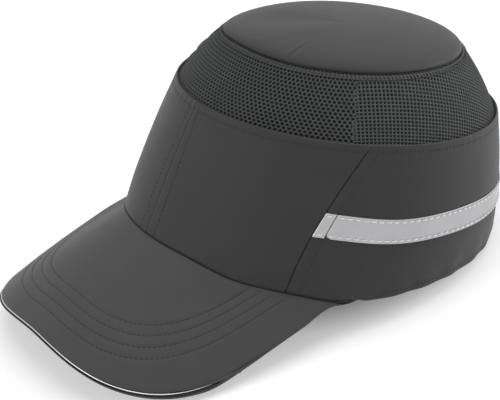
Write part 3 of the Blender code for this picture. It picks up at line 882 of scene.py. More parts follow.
def new_finish(name, roughness, sheen=0.0, metallic=0.0, specular=0.5):
    material = bpy.data.materials.new(name)
    material.use_nodes = True
    tree = material.node_tree
    shader = tree.nodes["Principled BSDF"]
    shader.inputs["Roughness"].default_value = roughness
    shader.inputs["Metallic"].default_value = metallic
    shader.inputs["Specular IOR Level"].default_value = specular
    shader.inputs["Sheen Weight"].default_value = sheen
    shader.inputs["Sheen Roughness"].default_value = 0.5
    return material, tree, shader


def add_node(tree, kind, links=None, values=None, **settings):
    """A shader node, with the outputs that feed it, the values of its other inputs, and its settings."""
    node = tree.nodes.new("ShaderNode" + kind)
    for name, setting in settings.items():
        setattr(node, name, setting)
    for name, value in (values or {}).items():
        node.inputs[name].default_value = value
    for name, output in (links or {}).items():
        tree.links.new(output, node.inputs[name])
    return node


def weave_coordinates(tree):
    return add_node(tree, "UVMap", uv_map="Weave").outputs["UV"]


def object_coordinates(tree):
    return add_node(tree, "TexCoord").outputs["Object"]


def noise_value(tree, coordinates, size, detail=3.0):
    values = {"Scale": 1 / size, "Detail": detail}
    return add_node(tree, "TexNoise", {"Vector": coordinates}, values).outputs["Fac"]


def wave_value(tree, coordinates, size, direction):
    values = {"Scale": FULL_TURN / (20 * size), "Distortion": 0.4}
    links = {"Vector": coordinates}
    return add_node(tree, "TexWave", links, values, bands_direction=direction).outputs["Fac"]


def sum_of(tree, first, second, share):
    """The first value plus a share of the second."""
    links = {0: second, 2: first}
    return add_node(tree, "Math", links, {1: share}, operation="MULTIPLY_ADD").outputs["Value"]


def colour_from(tree, shader, value, dark, light, low, high):
    ramp = add_node(tree, "ValToRGB", {"Fac": value})
    for stop, place, colour in zip(ramp.color_ramp.elements, (low, high), (dark, light)):
        stop.position = place
        stop.color = (*colour, 1)
    tree.links.new(ramp.outputs["Color"], shader.inputs["Base Color"])


def roughness_from(tree, shader, value, low, high):
    node = add_node(tree, "MapRange", {"Value": value}, {"To Min": low, "To Max": high})
    tree.links.new(node.outputs["Result"], shader.inputs["Roughness"])


def bump_from(tree, shader, value, height, strength):
    node = add_node(tree, "Bump", {"Height": value}, {"Distance": height, "Strength": strength})
    tree.links.new(node.outputs["Normal"], shader.inputs["Normal"])


def shades(grey, spread):
    """A darker and a lighter grey, both a little blue."""
    return [(level, level * 0.99, level * 1.04) for level in (grey * (1 - spread), grey * (1 + spread))]


def twill(name, grey):
    material, tree, shader = new_finish(name, roughness=0.6, sheen=0.14, specular=0.22)
    cloud = noise_value(tree, object_coordinates(tree), size=0.03)
    fibre = noise_value(tree, weave_coordinates(tree), size=0.0012)
    rib = wave_value(tree, weave_coordinates(tree), size=0.0007, direction="DIAGONAL")
    shade = sum_of(tree, cloud, fibre, share=0.35)
    colour_from(tree, shader, shade, *shades(grey, spread=0.1), low=0.4, high=0.9)
    roughness_from(tree, shader, cloud, low=0.52, high=0.70)
    bump_from(tree, shader, sum_of(tree, rib, fibre, share=0.8), height=0.00004, strength=0.6)
    return material


def knit(name, dark, light):
    material, tree, shader = new_finish(name, roughness=0.8, sheen=0.1)
    place = object_coordinates(tree)
    yarn = noise_value(tree, place, size=0.0006)
    cloud = noise_value(tree, place, size=0.02)
    colour_from(tree, shader, sum_of(tree, yarn, cloud, share=0.5), dark, light, low=0.5, high=1.0)
    bump_from(tree, shader, yarn, height=0.0001, strength=0.7)
    return material


def silver(name, dark, light):
    material, tree, shader = new_finish(name, roughness=0.35, metallic=0.8)
    place = object_coordinates(tree)
    bead = noise_value(tree, place, size=0.0004)
    cloud = noise_value(tree, place, size=0.02)
    colour_from(tree, shader, sum_of(tree, cloud, bead, share=0.3), dark, light, low=0.4, high=0.9)
    roughness_from(tree, shader, cloud, low=0.30, high=0.46)
    bump_from(tree, shader, bead, height=0.00004, strength=0.5)
    return material


def thread(name, dark, light):
    material, tree, shader = new_finish(name, roughness=0.6, sheen=0.1)
    twist = wave_value(tree, object_coordinates(tree), size=0.0004, direction="DIAGONAL")
    colour_from(tree, shader, twist, dark, light, low=0.0, high=1.0)
    bump_from(tree, shader, twist, height=0.00005, strength=0.6)
    return material


def webbing(name, grey):
    material, tree, shader = new_finish(name, roughness=0.8, sheen=0.1)
    weave = weave_coordinates(tree)
    rib = wave_value(tree, weave, size=0.0011, direction="X")
    cross = wave_value(tree, weave, size=0.0016, direction="DIAGONAL")
    both = sum_of(tree, rib, cross, share=0.6)
    colour_from(tree, shader, both, *shades(grey, spread=0.3), low=0.2, high=1.4)
    bump_from(tree, shader, both, height=0.0002, strength=0.8)
    return material


def fuzzy(name, grey, size, height):
    """Towelling, hook-and-loop pile and foam: a matt surface of small bumps."""
    material, tree, shader = new_finish(name, roughness=0.95, sheen=0.25, specular=0.2)
    place = object_coordinates(tree)
    loops = noise_value(tree, place, size, detail=4.0)
    cloud = noise_value(tree, place, size=0.02)
    shade = sum_of(tree, loops, cloud, share=0.4)
    colour_from(tree, shader, shade, *shades(grey, spread=0.35), low=0.45, high=0.95)
    bump_from(tree, shader, loops, height, strength=0.9)
    return material


def moulded(name, grey, size, roughness):
    material, tree, shader = new_finish(name, roughness)
    place = object_coordinates(tree)
    grain = noise_value(tree, place, size, detail=2.0)
    cloud = noise_value(tree, place, size=0.03)
    colour_from(tree, shader, cloud, *shades(grey, spread=0.1), low=0.3, high=0.7)
    roughness_from(tree, shader, cloud, low=roughness - 0.06, high=roughness + 0.08)
    bump_from(tree, shader, grain, height=0.00008, strength=0.5)
    return material


FINISHES = {
    # The panels, top and visor are one cloth: the top's grey is darker, painted shade against the light from
    # above, and the visor's is lighter, painted light
    "panel": twill("panel_twill", grey=0.043),
    "top": twill("top_twill_painted_shade", grey=0.034),
    "visor": twill("visor_twill_painted_light", grey=0.068),
    "net": knit("net_knit", dark=(0.044, 0.050, 0.046), light=(0.072, 0.080, 0.075)),
    # Near black, used only for painted shade: behind the net's holes and in the seams
    "painted_shade_black": fuzzy("net_backing_painted_shade", grey=0.008, size=0.0006, height=0.0001),
    "tape": silver("tape_silver", dark=(0.42, 0.42, 0.43), light=(0.48, 0.48, 0.49)),
    "piping": silver("piping_silver", dark=(0.66, 0.66, 0.67), light=(0.80, 0.80, 0.81)),
    "dark_thread": thread("dark_thread", dark=(0.010, 0.010, 0.011), light=(0.022, 0.022, 0.023)),
    "white_thread": thread("white_thread", dark=(0.86, 0.86, 0.86), light=(0.95, 0.95, 0.95)),
    "webbing": webbing("black_webbing", grey=0.03),
    "pile": fuzzy("pile", grey=0.018, size=0.0007, height=0.0004),
    "towelling": fuzzy("towelling", grey=0.024, size=0.0010, height=0.0004),
    "lining": twill("lining_twill", grey=0.024),
    "foam": fuzzy("foam", grey=0.034, size=0.0012, height=0.0002),
    "abs": moulded("abs", grey=0.016, size=0.0006, roughness=0.45),
    "board": moulded("board", grey=0.06, size=0.001, roughness=0.5),
}


# Crown


def back_panel_foot(angle):
    return np.maximum(panel_foot(angle), opening_foot(angle))


def add_panels():
    gap = SEAM_GAP / 2 / BAND_HALF_LENGTH
    front_columns = steps((0, 0.01, 3), (0.01, 0.1, 18), (0.1, 0.9, 44), (0.9, 0.985, 10), (0.985, 1, 4))
    back_columns = steps((0, 0.006, 3), (0.006, 0.06, 20), (0.06, 0.78, 70), (0.78, 0.82, 16),
                         (0.82, 0.92, 12), (0.92, 0.99, 12), (0.99, 1, 3))
    rows = steps((0, 0.012, 3), (0.012, 0.07, 10), (0.07, 0.93, 46), (0.93, 0.99, 12), (0.99, 1, 3))
    panels = (
        ("front_panel", fixed(gap), beside(side_seam, -gap), panel_foot, front_columns),
        ("back_panel", beside(side_seam, gap), fixed(BACK - gap), back_panel_foot, back_columns),
    )
    for panel, start, end, foot, columns in panels:
        for side, place, lines in both_sides(start, end, foot, fixed(1), columns):
            front, _ = lay(skin, place, lines, rows)
            _, normal = lay(wall, place, lines, rows)
            item = add_cloth(f"{panel}_{side}_cloth", "panel", "shell_cloth", front, normal, CLOTH)
            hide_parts(f"{panel}_{side}")
            declare_cloth(front)


def add_crown_stitching():
    rise = np.linspace(0, 1, 160)
    climb = SIDE_ROW_FOOT + rise * (1 - SIDE_ROW_FOOT - SIDE_ROW_END)
    front_foot = panel_foot(np.array([BESIDE_SEAM]))[0] + FRONT_ROW_MARGIN
    back_foot = opening_foot(np.array([BACK - BESIDE_SEAM]))[0] + BACK_ROW_MARGIN
    front = front_foot + rise * (ROW_HEAD - front_foot)
    back = back_foot + rise * (ROW_HEAD - back_foot)
    seam = side_seam(climb)
    hem = np.linspace(*HEM_ROW_SPAN, 260)
    runs = []
    for side in (-1, 1):
        runs.append(run_on(skin, side * front_stitch(front) / HEM_HALF_WIDTH, front))
        runs.append(run_on(skin, side * (seam + SIDE_STITCH / girth(seam, climb)), climb))
        runs.append(run_on(skin, side * (BACK - FRONT_STITCH / girth(np.array(BACK), back)), back))
        runs.append(run_on(skin, side * hem, HEM_STITCH / wall_length(hem)))
    around = np.linspace(-BACK, BACK, 900)
    runs.append(run_on(skin, around, 1 - TOP_STITCH / wall_length(around)))
    add_stitches("crown_stitching", "dark_thread", "shell_cloth", runs)
    # A near-black cord sunk in each side seam: painted shade for the crevice there
    for name, side in (("side_seam_painted_shade_left", 1), ("side_seam_painted_shade_right", -1)):
        seam = side * side_seam(climb)
        points = skin(seam, climb) - normal_of(wall, seam, climb) * SEAM_SHADE_CORD_DEPTH
        add_cord(name, "painted_shade_black", points, SEAM_SHADE_CORD_RADIUS, np.ones(len(climb)))


def add_top():
    turns = steps((0, 20, 12), (20, 34, 40), (34, 360, 180))
    around = np.radians(turns)
    inwards = steps((0, 0.03, 4), (0.03, 0.2, 10), (0.2, 1, 24))
    angle, share = np.meshgrid(around, inwards, indexing="ij")
    points = top(angle, share)
    normal = normal_of(top, angle, np.minimum(share, TOP_NEAR_MIDDLE))
    normal[:, -1] = (0, 0, 1)
    front = points + normal * disc_relief(angle, share, points)[..., None]
    item = add_cloth("crown_top_cloth", "top", "top_cloth", front, normal, CLOTH, wraps=True, pole=True)
    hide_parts("crown_top_panel")


# Net


def brick_cells(first, last, rows):
    """Cells of a staggered net, each with its middle and its six corners, counter-clockwise."""
    cells = []
    for row in range(rows):
        for column in range(first, last):
            x = column + 0.5 * (row % 2)
            corners = [(x, row), (x + 0.5, row), (x + 1, row),
                       (x + 1, row + 1), (x + 0.5, row + 1), (x, row + 1)]
            cells.append(((x + 0.5, row + 0.5), corners))
    return cells


def square_cells(first, last, rows):
    cells = []
    for row in rows:
        for x in range(first, last):
            corners = [(x, row), (x + 0.5, row), (x + 1, row), (x + 1, row + 0.5),
                       (x + 1, row + 1), (x + 0.5, row + 1), (x, row + 1), (x, row + 0.5)]
            cells.append(((x + 0.5, row + 0.5), corners))
    return cells


def add_net(name, cells, place, surface):
    """A net of cords round open holes: cells share the ridges of the cords between them."""
    index = {}
    for _, corners in cells:
        for corner in corners:
            index.setdefault(corner, len(index))
    keys = np.array(list(index))
    ridge_angle, ridge_share = place(keys)
    ridge_points = surface(ridge_angle, ridge_share)
    normals = normal_of(mesh, ridge_angle, np.clip(ridge_share, 0, NEARLY))
    behind = ridge_points - normals * NET_YARN
    centre_angle, centre_share = place(np.array([middle for middle, _ in cells]))
    centres = surface(centre_angle, centre_share)
    count = len(index)
    points = [ridge_points, behind]
    faces = []
    edges = set()
    base = 2 * count
    for middle, (_, corners) in zip(centres, cells):
        around = [index[corner] for corner in corners]
        size = len(around)
        halfway = (ridge_points[around] + behind[around]) / 2
        sunk = middle - normals[around].mean(axis=0) * NET_YARN / 2
        shares = np.full(size, NET_HOLE)
        if size == 8:
            shares[::2] *= NET_CORNER
        points.append(sunk + (halfway - sunk) * shares[:, None])
        for side in range(size):
            after = (side + 1) % size
            a, b = around[side], around[after]
            faces.append([a, b, base + after, base + side])
            faces.append([b + count, a + count, base + side, base + after])
            edges.add((a, b))
        base += size
    for a, b in edges:
        if (b, a) not in edges:
            faces.append([b, a, a + count, b + count])
    return add_mesh(name, np.concatenate(points), faces, "net", "cap", "mesh")


def add_mesh_band():
    columns = round(2 * NET_SEAM * (BAND_HALF_WIDTH + TOP_HALF_WIDTH) / 2 / NET_PITCH) + 2

    def front_place(keys):
        x, y = keys[:, 0], keys[:, 1]
        on_corner = np.isclose((x - 0.5 * (y % 2)) % 1, 0) & np.isclose(y % 1, 0)
        shift = np.where(np.isclose(y % 1, 0), np.where(on_corner, NET_STAGGER, -NET_STAGGER), 0)
        share = (y + shift) / (FRONT_NET_ROWS - FRONT_NET_TUCK)
        return (x / (columns - 1) - 0.5) * 2 * NET_SEAM, share

    front = add_net("mesh_front_net", brick_cells(0, columns - 1, FRONT_NET_ROWS), front_place, net_skin)
    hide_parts("mesh_band")

    def keep(cells, place):
        angle, share = place(np.array([middle for middle, _ in cells]))
        half = REAR_PITCH / 2 / BAND_HALF_LENGTH
        low, high = REAR_NET_SPAN
        inside = (angle > NET_SEAM - half) & (angle < BACK + half) & (share > low) & (share < high)
        return [cell for cell, kept in zip(cells, inside) if kept]

    def rear_place(keys):
        across = keys[:, 0] * REAR_PITCH
        drop = FAN_BASE - keys[:, 1] * REAR_PITCH
        angle = FAN_STRAIGHT_GRAIN + np.arctan2(across, drop) / FAN_SHARE
        return angle, (FAN_BASE - np.hypot(across, drop)) / FAN_DEPTH

    def right_place(keys):
        angle, share = rear_place(keys * np.array([-1.0, 1.0]))
        return -angle, share

    reach = math.ceil(FAN_BASE / REAR_PITCH)
    cells = keep(square_cells(-8, reach, range(-2, reach)), rear_place)
    left = add_net("mesh_rear_net_left", cells, rear_place, net_skin)
    flipped = [((-across, up), [(-x, y) for x, y in reversed(corners)]) for (across, up), corners in cells]
    right = add_net("mesh_rear_net_right", flipped, right_place, net_skin)
    add_painted_shade_backing(add_net_strip())


def add_net_strip():
    """The net's doubled edge under the top cloth, stitched down along its foot."""
    count = round(FULL_TURN * (TOP_HALF_WIDTH + TOP_HALF_LENGTH) / 2 / REAR_PITCH)

    def surface(angle, share):
        lift = normal_of(mesh, angle, np.minimum(share, NEARLY)) * STRIP_LIFT
        return net_skin(angle, share) + lift

    def place(keys):
        around = (keys[:, 0] / count - 0.5) * (FULL_TURN - STEP)
        return around, STRIP_FOOT + keys[:, 1] / STRIP_ROWS * (1 - STRIP_FOOT)

    strip = add_net("mesh_edge_strip", square_cells(0, count, range(STRIP_ROWS)), place, surface)
    around = np.linspace(-BACK, BACK, 700)
    foot = STRIP_FOOT + 0 * around
    run = (surface(around, foot), normal_of(mesh, around, foot))
    return [strip, add_stitches("mesh_edge_stitching", "dark_thread", "mesh", [run])]


def add_painted_shade_backing(edging):
    """A black sheet behind the net, painted shade: it keeps light from showing through its holes, so that
    they look dark.
    """
    angle, share = np.meshgrid(np.linspace(0, FULL_TURN, 241), np.linspace(0.01, 1.0, 15), indexing="ij")
    normal = normal_of(mesh, angle, np.minimum(share, NEARLY))
    front = net_skin(angle, share) - normal * (NET_YARN + NET_BACKING_GAP)
    item = add_cloth("mesh_backing_painted_shade", "painted_shade_black", "mesh", front, normal, NET_BACKING, wraps=True)


# Reflective tape


def tape_edge(side):
    def share(angle):
        sag = TAPE_SAG * ridge(np.abs(wrapped(angle)) - TAPE_SAG_ANGLE, TAPE_SAG_SPREAD)
        height = TAPE_HEIGHT + TAPE_FRONT_RISE * np.cos(angle) - sag + side * TAPE_WIDTH / 2
        return wall_share(angle, height)
    return share


def opening_side(share):
    """The angle where the rear opening's bound edge crosses a share of the wall's height."""
    radius = OPENING_RADIUS + BINDING_WIDTH + SEAM_GAP
    angle = np.full_like(np.asarray(share, dtype=float), BACK - OPENING_ANGLE)
    for _ in range(8):
        point = wall(angle, share)
        across = np.sqrt(np.maximum(radius ** 2 - point[..., 2] ** 2, 0))
        stretch = np.abs(point[..., 0]) / np.maximum(np.sin(angle), TINY)
        angle = BACK - np.arcsin(np.clip(across / stretch, 0, NEARLY))
    return angle


def on_back(across, height):
    """The angle and share of a point on the back of the wall, from its place across and its height."""
    angle = BACK - np.arcsin(across / HEM_HALF_WIDTH)
    for _ in range(8):
        share = wall_share(angle, height)
        swell = 4 * WALL_SWELL_WIDTH * share * (1 - share)
        half_width = HEM_HALF_WIDTH + (BAND_HALF_WIDTH - HEM_HALF_WIDTH) * share + swell
        angle = BACK - np.arcsin(np.clip(across / half_width, -NEARLY, NEARLY))
    return angle, share


def add_binding():
    """The tape folded over the rear opening's edge, and its stitches."""
    margin = BINDING_THICKNESS + BINDING_ROOM
    leg = np.linspace(1, 0, 8)
    inwards, rises = np.array(BINDING_FOLD).T
    beyond = np.concatenate([[BINDING_WIDTH], (BINDING_WIDTH - BINDING_EDGE) * leg, -margin * inwards])
    lift = np.concatenate([[BINDING_LIFT / 2], BINDING_LIFT + 0 * leg, rises])

    def bound(turn, reach, rise):
        radius = OPENING_RADIUS + reach
        angle, share = on_back(-radius * np.cos(turn), radius * np.sin(turn))
        normal = normal_of(wall, angle, share)
        return skin(angle, share) + normal * np.asarray(rise)[..., None], normal

    turn = np.linspace(0, math.pi, 141)
    grid, reach = np.meshgrid(turn, beyond, indexing="ij")
    front, _ = bound(grid, reach, lift + 0 * grid)
    normal = unit(np.cross(np.gradient(front, axis=0), np.gradient(front, axis=1)))
    item = add_cloth("rear_binding_tape", "panel", "shell_cloth", front, normal, BINDING_THICKNESS)
    declare_cloth(front)
    line = np.linspace(*BINDING_STITCH_SPAN, 200)
    run = bound(line, BINDING_STITCH + 0 * line, BINDING_LIFT + 0 * line)
    add_stitches("rear_binding_stitching", "dark_thread", "shell_cloth", [run])


def tape_skin(lift):
    def surface(angle, share):
        return skin(angle, share) + normal_of(wall, angle, share) * lift
    return surface


def tape_start(share):
    """The tape's front end, with its lower corner rounded."""
    begin = side_seam(share) + TAPE_TAB_ANGLE
    above = (share - tape_edge(-1)(begin)) * wall_length(begin)
    drop = np.clip(TAPE_CORNER - above, 0, TAPE_CORNER)
    return begin + (TAPE_CORNER - np.sqrt(TAPE_CORNER ** 2 - drop ** 2)) / girth(begin, share)


def add_tape():
    gap = SEAM_GAP / BAND_HALF_LENGTH
    tab_end = TAPE_TAB_ANGLE - TAPE_TAB_GAP / BAND_HALF_LENGTH
    tab_columns = steps((0, 0.1, 2), (0.1, 0.9, 6), (0.9, 1, 2))
    tape_columns = steps((0, 0.004, 2), (0.004, 0.03, 10), (0.03, 0.995, 110), (0.995, 1, 2))
    rows = steps((0, 0.03, 2), (0.03, 0.2, 8), (0.2, 0.8, 6), (0.8, 0.97, 8), (0.97, 1, 2))
    stitch = TAPE_STITCH_MARGIN / TAPE_WIDTH
    across = np.minimum(np.abs(rows - stitch), np.abs(rows - 1 + stitch)) * TAPE_WIDTH
    groove = (TAPE_GROOVE * ridge(across, GROOVE_WIDTH))[None, :, None]
    along = np.linspace(*TAPE_STITCH_SPAN, 400)
    runs = []
    bands = (
        ("tape_tab", beside(side_seam, gap), beside(side_seam, tab_end), TAB_LIFT, tab_columns),
        ("reflective_tape", tape_start, opening_side, TAPE_LIFT, tape_columns),
    )
    for node, start, end, lift, columns in bands:
        surface = tape_skin(lift)
        for side, place, lines in both_sides(start, end, tape_edge(-1), tape_edge(1), columns):
            front, _ = lay(surface, place, lines, rows)
            _, normal = lay(wall, place, lines, rows)
            front = front - normal * groove
            item = add_cloth(f"{node}_{side}_silver", "tape", "reflective", front, normal, SILVER_THICKNESS)
            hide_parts(f"{node}_{side}")
            declare_cloth(front)
            for row in (stitch, 1 - stitch):
                line, _ = lay(surface, place, along, np.array([row, row + STEP]))
                _, out = lay(wall, place, along, np.array([row, row + STEP]))
                runs.append((line[:, 0], out[:, 0]))
    add_stitches("tape_stitching", "white_thread", "reflective", runs, radius=TAPE_THREAD_RADIUS,
                 lift=TAPE_THREAD_LIFT, size=TAPE_STITCH_SIZE)


# Visor


def visor_outline(turn, reach):
    bend = 2 / VISOR_POWER
    across = np.sign(np.sin(turn)) * np.abs(np.sin(turn)) ** bend
    ahead = np.sign(np.cos(turn)) * np.abs(np.cos(turn)) ** bend
    x = (VISOR_HALF_WIDTH + reach) * across
    return np.stack([x, VISOR_CENTRE_Y - (VISOR_HALF_LENGTH + reach) * ahead], axis=-1)


def visor_level(plan):
    across = np.abs(plan[..., 0] / VISOR_HALF_WIDTH) ** VISOR_POWER
    ahead = np.abs((plan[..., 1] - VISOR_CENTRE_Y) / (VISOR_STITCH_REACH * VISOR_HALF_LENGTH)) ** VISOR_POWER
    return (across + ahead) ** (1 / VISOR_POWER)


def visor_root(angle):
    tuck = VISOR_TUCK * ease(*VISOR_TUCK_SPAN, np.abs(angle))
    return (wall(angle, panel_foot(angle)) + outward(angle) * (FIT - tuck)[..., None])[..., :2]


def visor_columns(u, reach):
    """The visor's edge and root in plan. Its edge closes on the hem towards both ends."""
    turn = np.sign(u) * np.abs(u) ** (VISOR_POWER / 2) * VISOR_END_ANGLE
    edge, root = visor_outline(turn, reach), visor_root(u * VISOR_ROOT_ANGLE)
    return mixed(edge, root, VISOR_CLOSE * ease(VISOR_CLOSE_START, 1.0, np.abs(u))), root


def level_shares(edge, root):
    """For each column and each row of stitches, the share of the way in where the two cross."""
    shares = []
    for level in VISOR_STITCH_LEVELS:
        low, high = np.zeros(len(edge)), np.ones(len(edge))
        for _ in range(30):
            middle = (low + high) / 2
            outside = visor_level(mixed(edge, root, middle)) > level
            low = np.where(outside, middle, low)
            high = np.where(outside, high, middle)
        shares.append(low)
    return np.array(shares)


def visor_grid(u, reach):
    """Plan points of the visor, with each row's distance from the edge and from the nearest stitch row."""
    count = len(u)
    edge, root = visor_columns(u, reach)
    length = np.linalg.norm(root - edge, axis=-1)
    roll = np.minimum(VISOR_ROLL / length, VISOR_ROLL_LIMIT)
    crossings = level_shares(edge, root)
    stops = [np.zeros(count), roll]
    rank = len(crossings)
    for order, crossing in enumerate(crossings):
        room = 1 - VISOR_ROW_ROOM * (rank - order)
        stops.append(np.clip(crossing, roll + VISOR_ROW_ROOM * (order + 1), room))
    stops.append(np.ones(count))
    shares = []
    for start, end, number in zip(stops[:-1], stops[1:], VISOR_ROW_COUNTS):
        lines = (1 - np.cos(np.linspace(0, math.pi, number, endpoint=False))) / 2
        shares += [start + (end - start) * line for line in lines]
    shares.append(stops[-1])
    share = np.array(shares).T
    plan = mixed(edge[:, None], root[:, None], share)
    distance = share * length[:, None]
    groove = np.zeros_like(share)
    for crossing in crossings:
        fade = ease(*VISOR_GROOVE_SPAN, (1 - crossing) * length)
        away = (share - crossing[:, None]) * length[:, None]
        groove = np.maximum(groove, fade[:, None] * ridge(away, VISOR_GROOVE_WIDTH))
    rows = [sum(VISOR_ROW_COUNTS[:2 + order]) for order in range(rank)]
    kept = [(1 - crossing) * length > VISOR_STITCH_END for crossing in crossings]
    return plan, distance, groove, rows, kept


def visor_flat(x, y):
    """A visor cover's width over its arch and its length down its slope, from its plan."""
    down = np.linspace(y.min(), y.max(), 60)
    slope = np.stack([down, visor_height(0 * down, down)], axis=-1)
    width = 2 * VISOR_ARCH_RADIUS * math.asin(x.max() / VISOR_ARCH_RADIUS)
    return width, np.linalg.norm(np.diff(slope, axis=0), axis=-1).sum()


def visor_lower_depth(u):
    """How far the visor's under face lies below its upper one: the two close up at the ends."""
    return VISOR_STACK * (1 - VISOR_PINCH * ease(*VISOR_PINCH_SPAN, np.abs(u)))


def add_visor():
    u = steps((-1, -0.9, 18), (-0.9, 0.9, 154), (0.9, 1, 18))
    runs = []
    past_piping = ease(*VISOR_PIPED_SPAN, np.abs(u))
    for node, side, reach in (("visor_upper_cover", 1, VISOR_UPPER_REACH + 0 * u),
                              ("visor_lower_cover", -1, VISOR_LOWER_REACH + VISOR_END_REACH * past_piping)):
        plan, distance, groove, rows, kept = visor_grid(u, reach)
        x, y = plan[..., 0], plan[..., 1]
        roll = np.clip(1 - distance / VISOR_ROLL, 0, 1)
        curl = 1 - np.sqrt(1 - roll ** 2)
        low = visor_lower_depth(u)[:, None]
        rim = np.minimum(low, VISOR_RIM_DEPTH - VISOR_END_RIM * past_piping[:, None])
        depth = VISOR_UPPER_CURL * curl if side > 0 else low - (low - rim) * curl
        soft = np.stack([x, y, 0 * x], axis=-1)
        drift = wavy(soft, VISOR_DRIFT_SIZE)
        pucker = np.sin(u[:, None] * VISOR_PUCKERS + VISOR_PUCKER_DRIFT * drift) * (VISOR_PUCKER_EVEN + drift)
        pucker *= ridge(distance - VISOR_PUCKER_PLACE, VISOR_PUCKER_WIDTH)
        relief = bumps(VISOR_UNEVEN, soft) - GROOVE_DEPTH * groove
        relief += VISOR_DRIFT * drift + VISOR_PUCKER * pucker
        normal = visor_normal(x, y)
        front = np.stack([x, y, visor_depth(x, y, depth)], axis=-1) + normal * (side * relief)[..., None]
        order = slice(None, None, side)
        item = add_cloth(node.replace("cover", "cloth"), "visor", "visor_cloth",
                         front[order], normal[order] * side, VISOR_COVER)
        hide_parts(node)
        declare_cloth(front, visor_flat(x, y))
        for row, keep in zip(rows, kept):
            runs.append((front[keep, row], normal[keep, row] * side))
    add_stitches("visor_stitching", "dark_thread", "visor_cloth", runs)
    add_board()
    add_piping()
    add_visor_seam_shade()


def add_board():
    u = np.linspace(-VISOR_BOARD_END, VISOR_BOARD_END, 91)
    edge, root = visor_columns(u, 0)
    length = np.linalg.norm(root - edge, axis=-1)
    start = (VISOR_BOARD_MARGIN / length)[:, None]
    plan = mixed(edge[:, None], root[:, None], start + (VISOR_BOARD_ROOT - start) * even(20)[None, :])
    x, y = plan[..., 0], plan[..., 1]
    front = np.stack([x, y, visor_depth(x, y, VISOR_COVER + FIT / 2)], axis=-1)
    item = add_cloth("visor_board_core", "board", "board", front, visor_normal(x, y), VISOR_BOARD)
    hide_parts("visor_board")


def add_piping():
    reach = (PIPING_END_ANGLE / VISOR_END_ANGLE) ** (2 / VISOR_POWER)
    u = np.linspace(-reach, reach, 181)
    turn = np.sign(u) * np.abs(u) ** (VISOR_POWER / 2) * VISOR_END_ANGLE
    edge = visor_outline(turn, PIPING_REACH)
    height = visor_depth(edge[:, 0], edge[:, 1], PIPING_DEPTH)
    points = np.stack([edge[:, 0], edge[:, 1], height], axis=-1)
    taper = 1 - PIPING_TAPER * ease(PIPING_TAPER_START, 1.0, np.abs(u) / reach)
    item = add_cord("visor_piping_cord", "piping", points, PIPING_RADIUS, taper)
    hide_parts("visor_piping")


def add_visor_seam_shade():
    """A dark cord in the seam between the visor and the crown: painted shade for the crevice there."""
    angle = np.linspace(-VISOR_ROOT_ANGLE, VISOR_ROOT_ANGLE, 181)
    points = wall(angle, panel_foot(angle)) + np.array([0, 0, VISOR_SEAM_SHADE_LIFT])
    add_cord("visor_seam_painted_shade", "painted_shade_black", points, VISOR_SEAM_SHADE_RADIUS, np.ones(len(angle)))


def add_cord(name, finish, points, radius, taper):
    """A round cord along a line of points; the taper gives each point's share of the radius."""
    curve = bpy.data.curves.new(name, "CURVE")
    curve.dimensions = "3D"
    curve.bevel_depth = radius
    curve.bevel_resolution = 3
    curve.use_fill_caps = True
    spline = curve.splines.new("POLY")
    spline.points.add(len(points) - 1)
    for place, point, share in zip(spline.points, to_world(points), taper):
        place.co = (*point, 1)
        place.radius = share
    curve.materials.append(FINISHES[finish])
    item = bpy.data.objects.new(name, curve)
    bpy.context.scene.collection.objects.link(item)
    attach(item, "cap")
    return item


# Inside the hem


def add_band(name, node, finish, slot, surface, place, columns, rows, thickness, body="cap"):
    """A strip of cloth on a surface, standing for a node."""
    front, normal = lay(surface, place, columns, rows)
    item = add_cloth(name, finish, slot, front, normal, thickness, body)
    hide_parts(node)
    declare_cloth(front)


def even(count, edge=0.02):
    return steps((0, edge, 2), (edge, 1 - edge, count), (1 - edge, 1, 2))


def add_seam_tapes():
    lining = inset(wall, CLOTH + FIT)
    half = SEAM_TAPE_WIDTH / 2 / BAND_HALF_LENGTH
    head = fixed(1 - 2 * MESH_LAP / BAND_HEIGHT)

    def above_sweatband(angle):
        return wall_share(angle, hem_point(angle)[..., 2] + 2 * HEM_MARGIN + SWEATBAND_WIDTH)

    def above_opening(angle):
        return wall_share(angle, OPENING_RADIUS + BINDING_WIDTH + 0 * angle)

    seams = {
        "centre_front_seam_tape": (fixed(0), above_sweatband),
        "side_seam_tape_left": (side_seam, above_sweatband),
        "centre_back_seam_tape": (fixed(BACK), above_opening),
        "side_seam_tape_right": (lambda share: -side_seam(share), above_sweatband),
    }
    for node, (seam, foot) in seams.items():
        place = patch(beside(seam, -half), beside(seam, half), foot, head)
        add_band(node + "_strip", node, "lining", "lining", lining, place,
                 even(6, 0.06), even(24), TAPE_THICKNESS)


def lifted(amount):
    return lambda angle: wall_share(angle, hem_point(angle)[..., 2] + amount)


def add_hem():
    start, end = fixed(OPENING_ANGLE - BACK), fixed(BACK - OPENING_ANGLE)
    above = lifted(HEM_MARGIN + SWEATBAND_WIDTH)

    def below(angle):
        sag = SWEATBAND_SAG * ridge(np.abs(angle) - SWEATBAND_SAG_ANGLE, HEM_LIFT_SPREAD)
        return wall_share(angle, hem_point(angle)[..., 2] + HEM_MARGIN - sag)

    behind_strap = inset(wall, SWEATBAND_INSET + FIT)
    add_band("sweatband_towelling", "sweatband", "towelling", "lining", behind_strap,
             patch(start, end, below, above), even(150, 0.004), even(14, 0.04), SWEATBAND_THICKNESS - FIT)
    pocket = fixed(BACK - OPENING_ANGLE + HOOK_STRAP_REACH[0] / 2 - HEM_TAPE_MARGIN)
    tape = patch(start, pocket, lifted(HEM_MARGIN), lifted(HEM_MARGIN + HEM_TAPE_WIDTH))
    add_band("hem_tape_strip", "hem_tape", "lining", "lining", inset(wall, CLOTH + FIT), tape,
             even(120, 0.004), even(4, 0.06), STRAP_THICKNESS)


# Strap


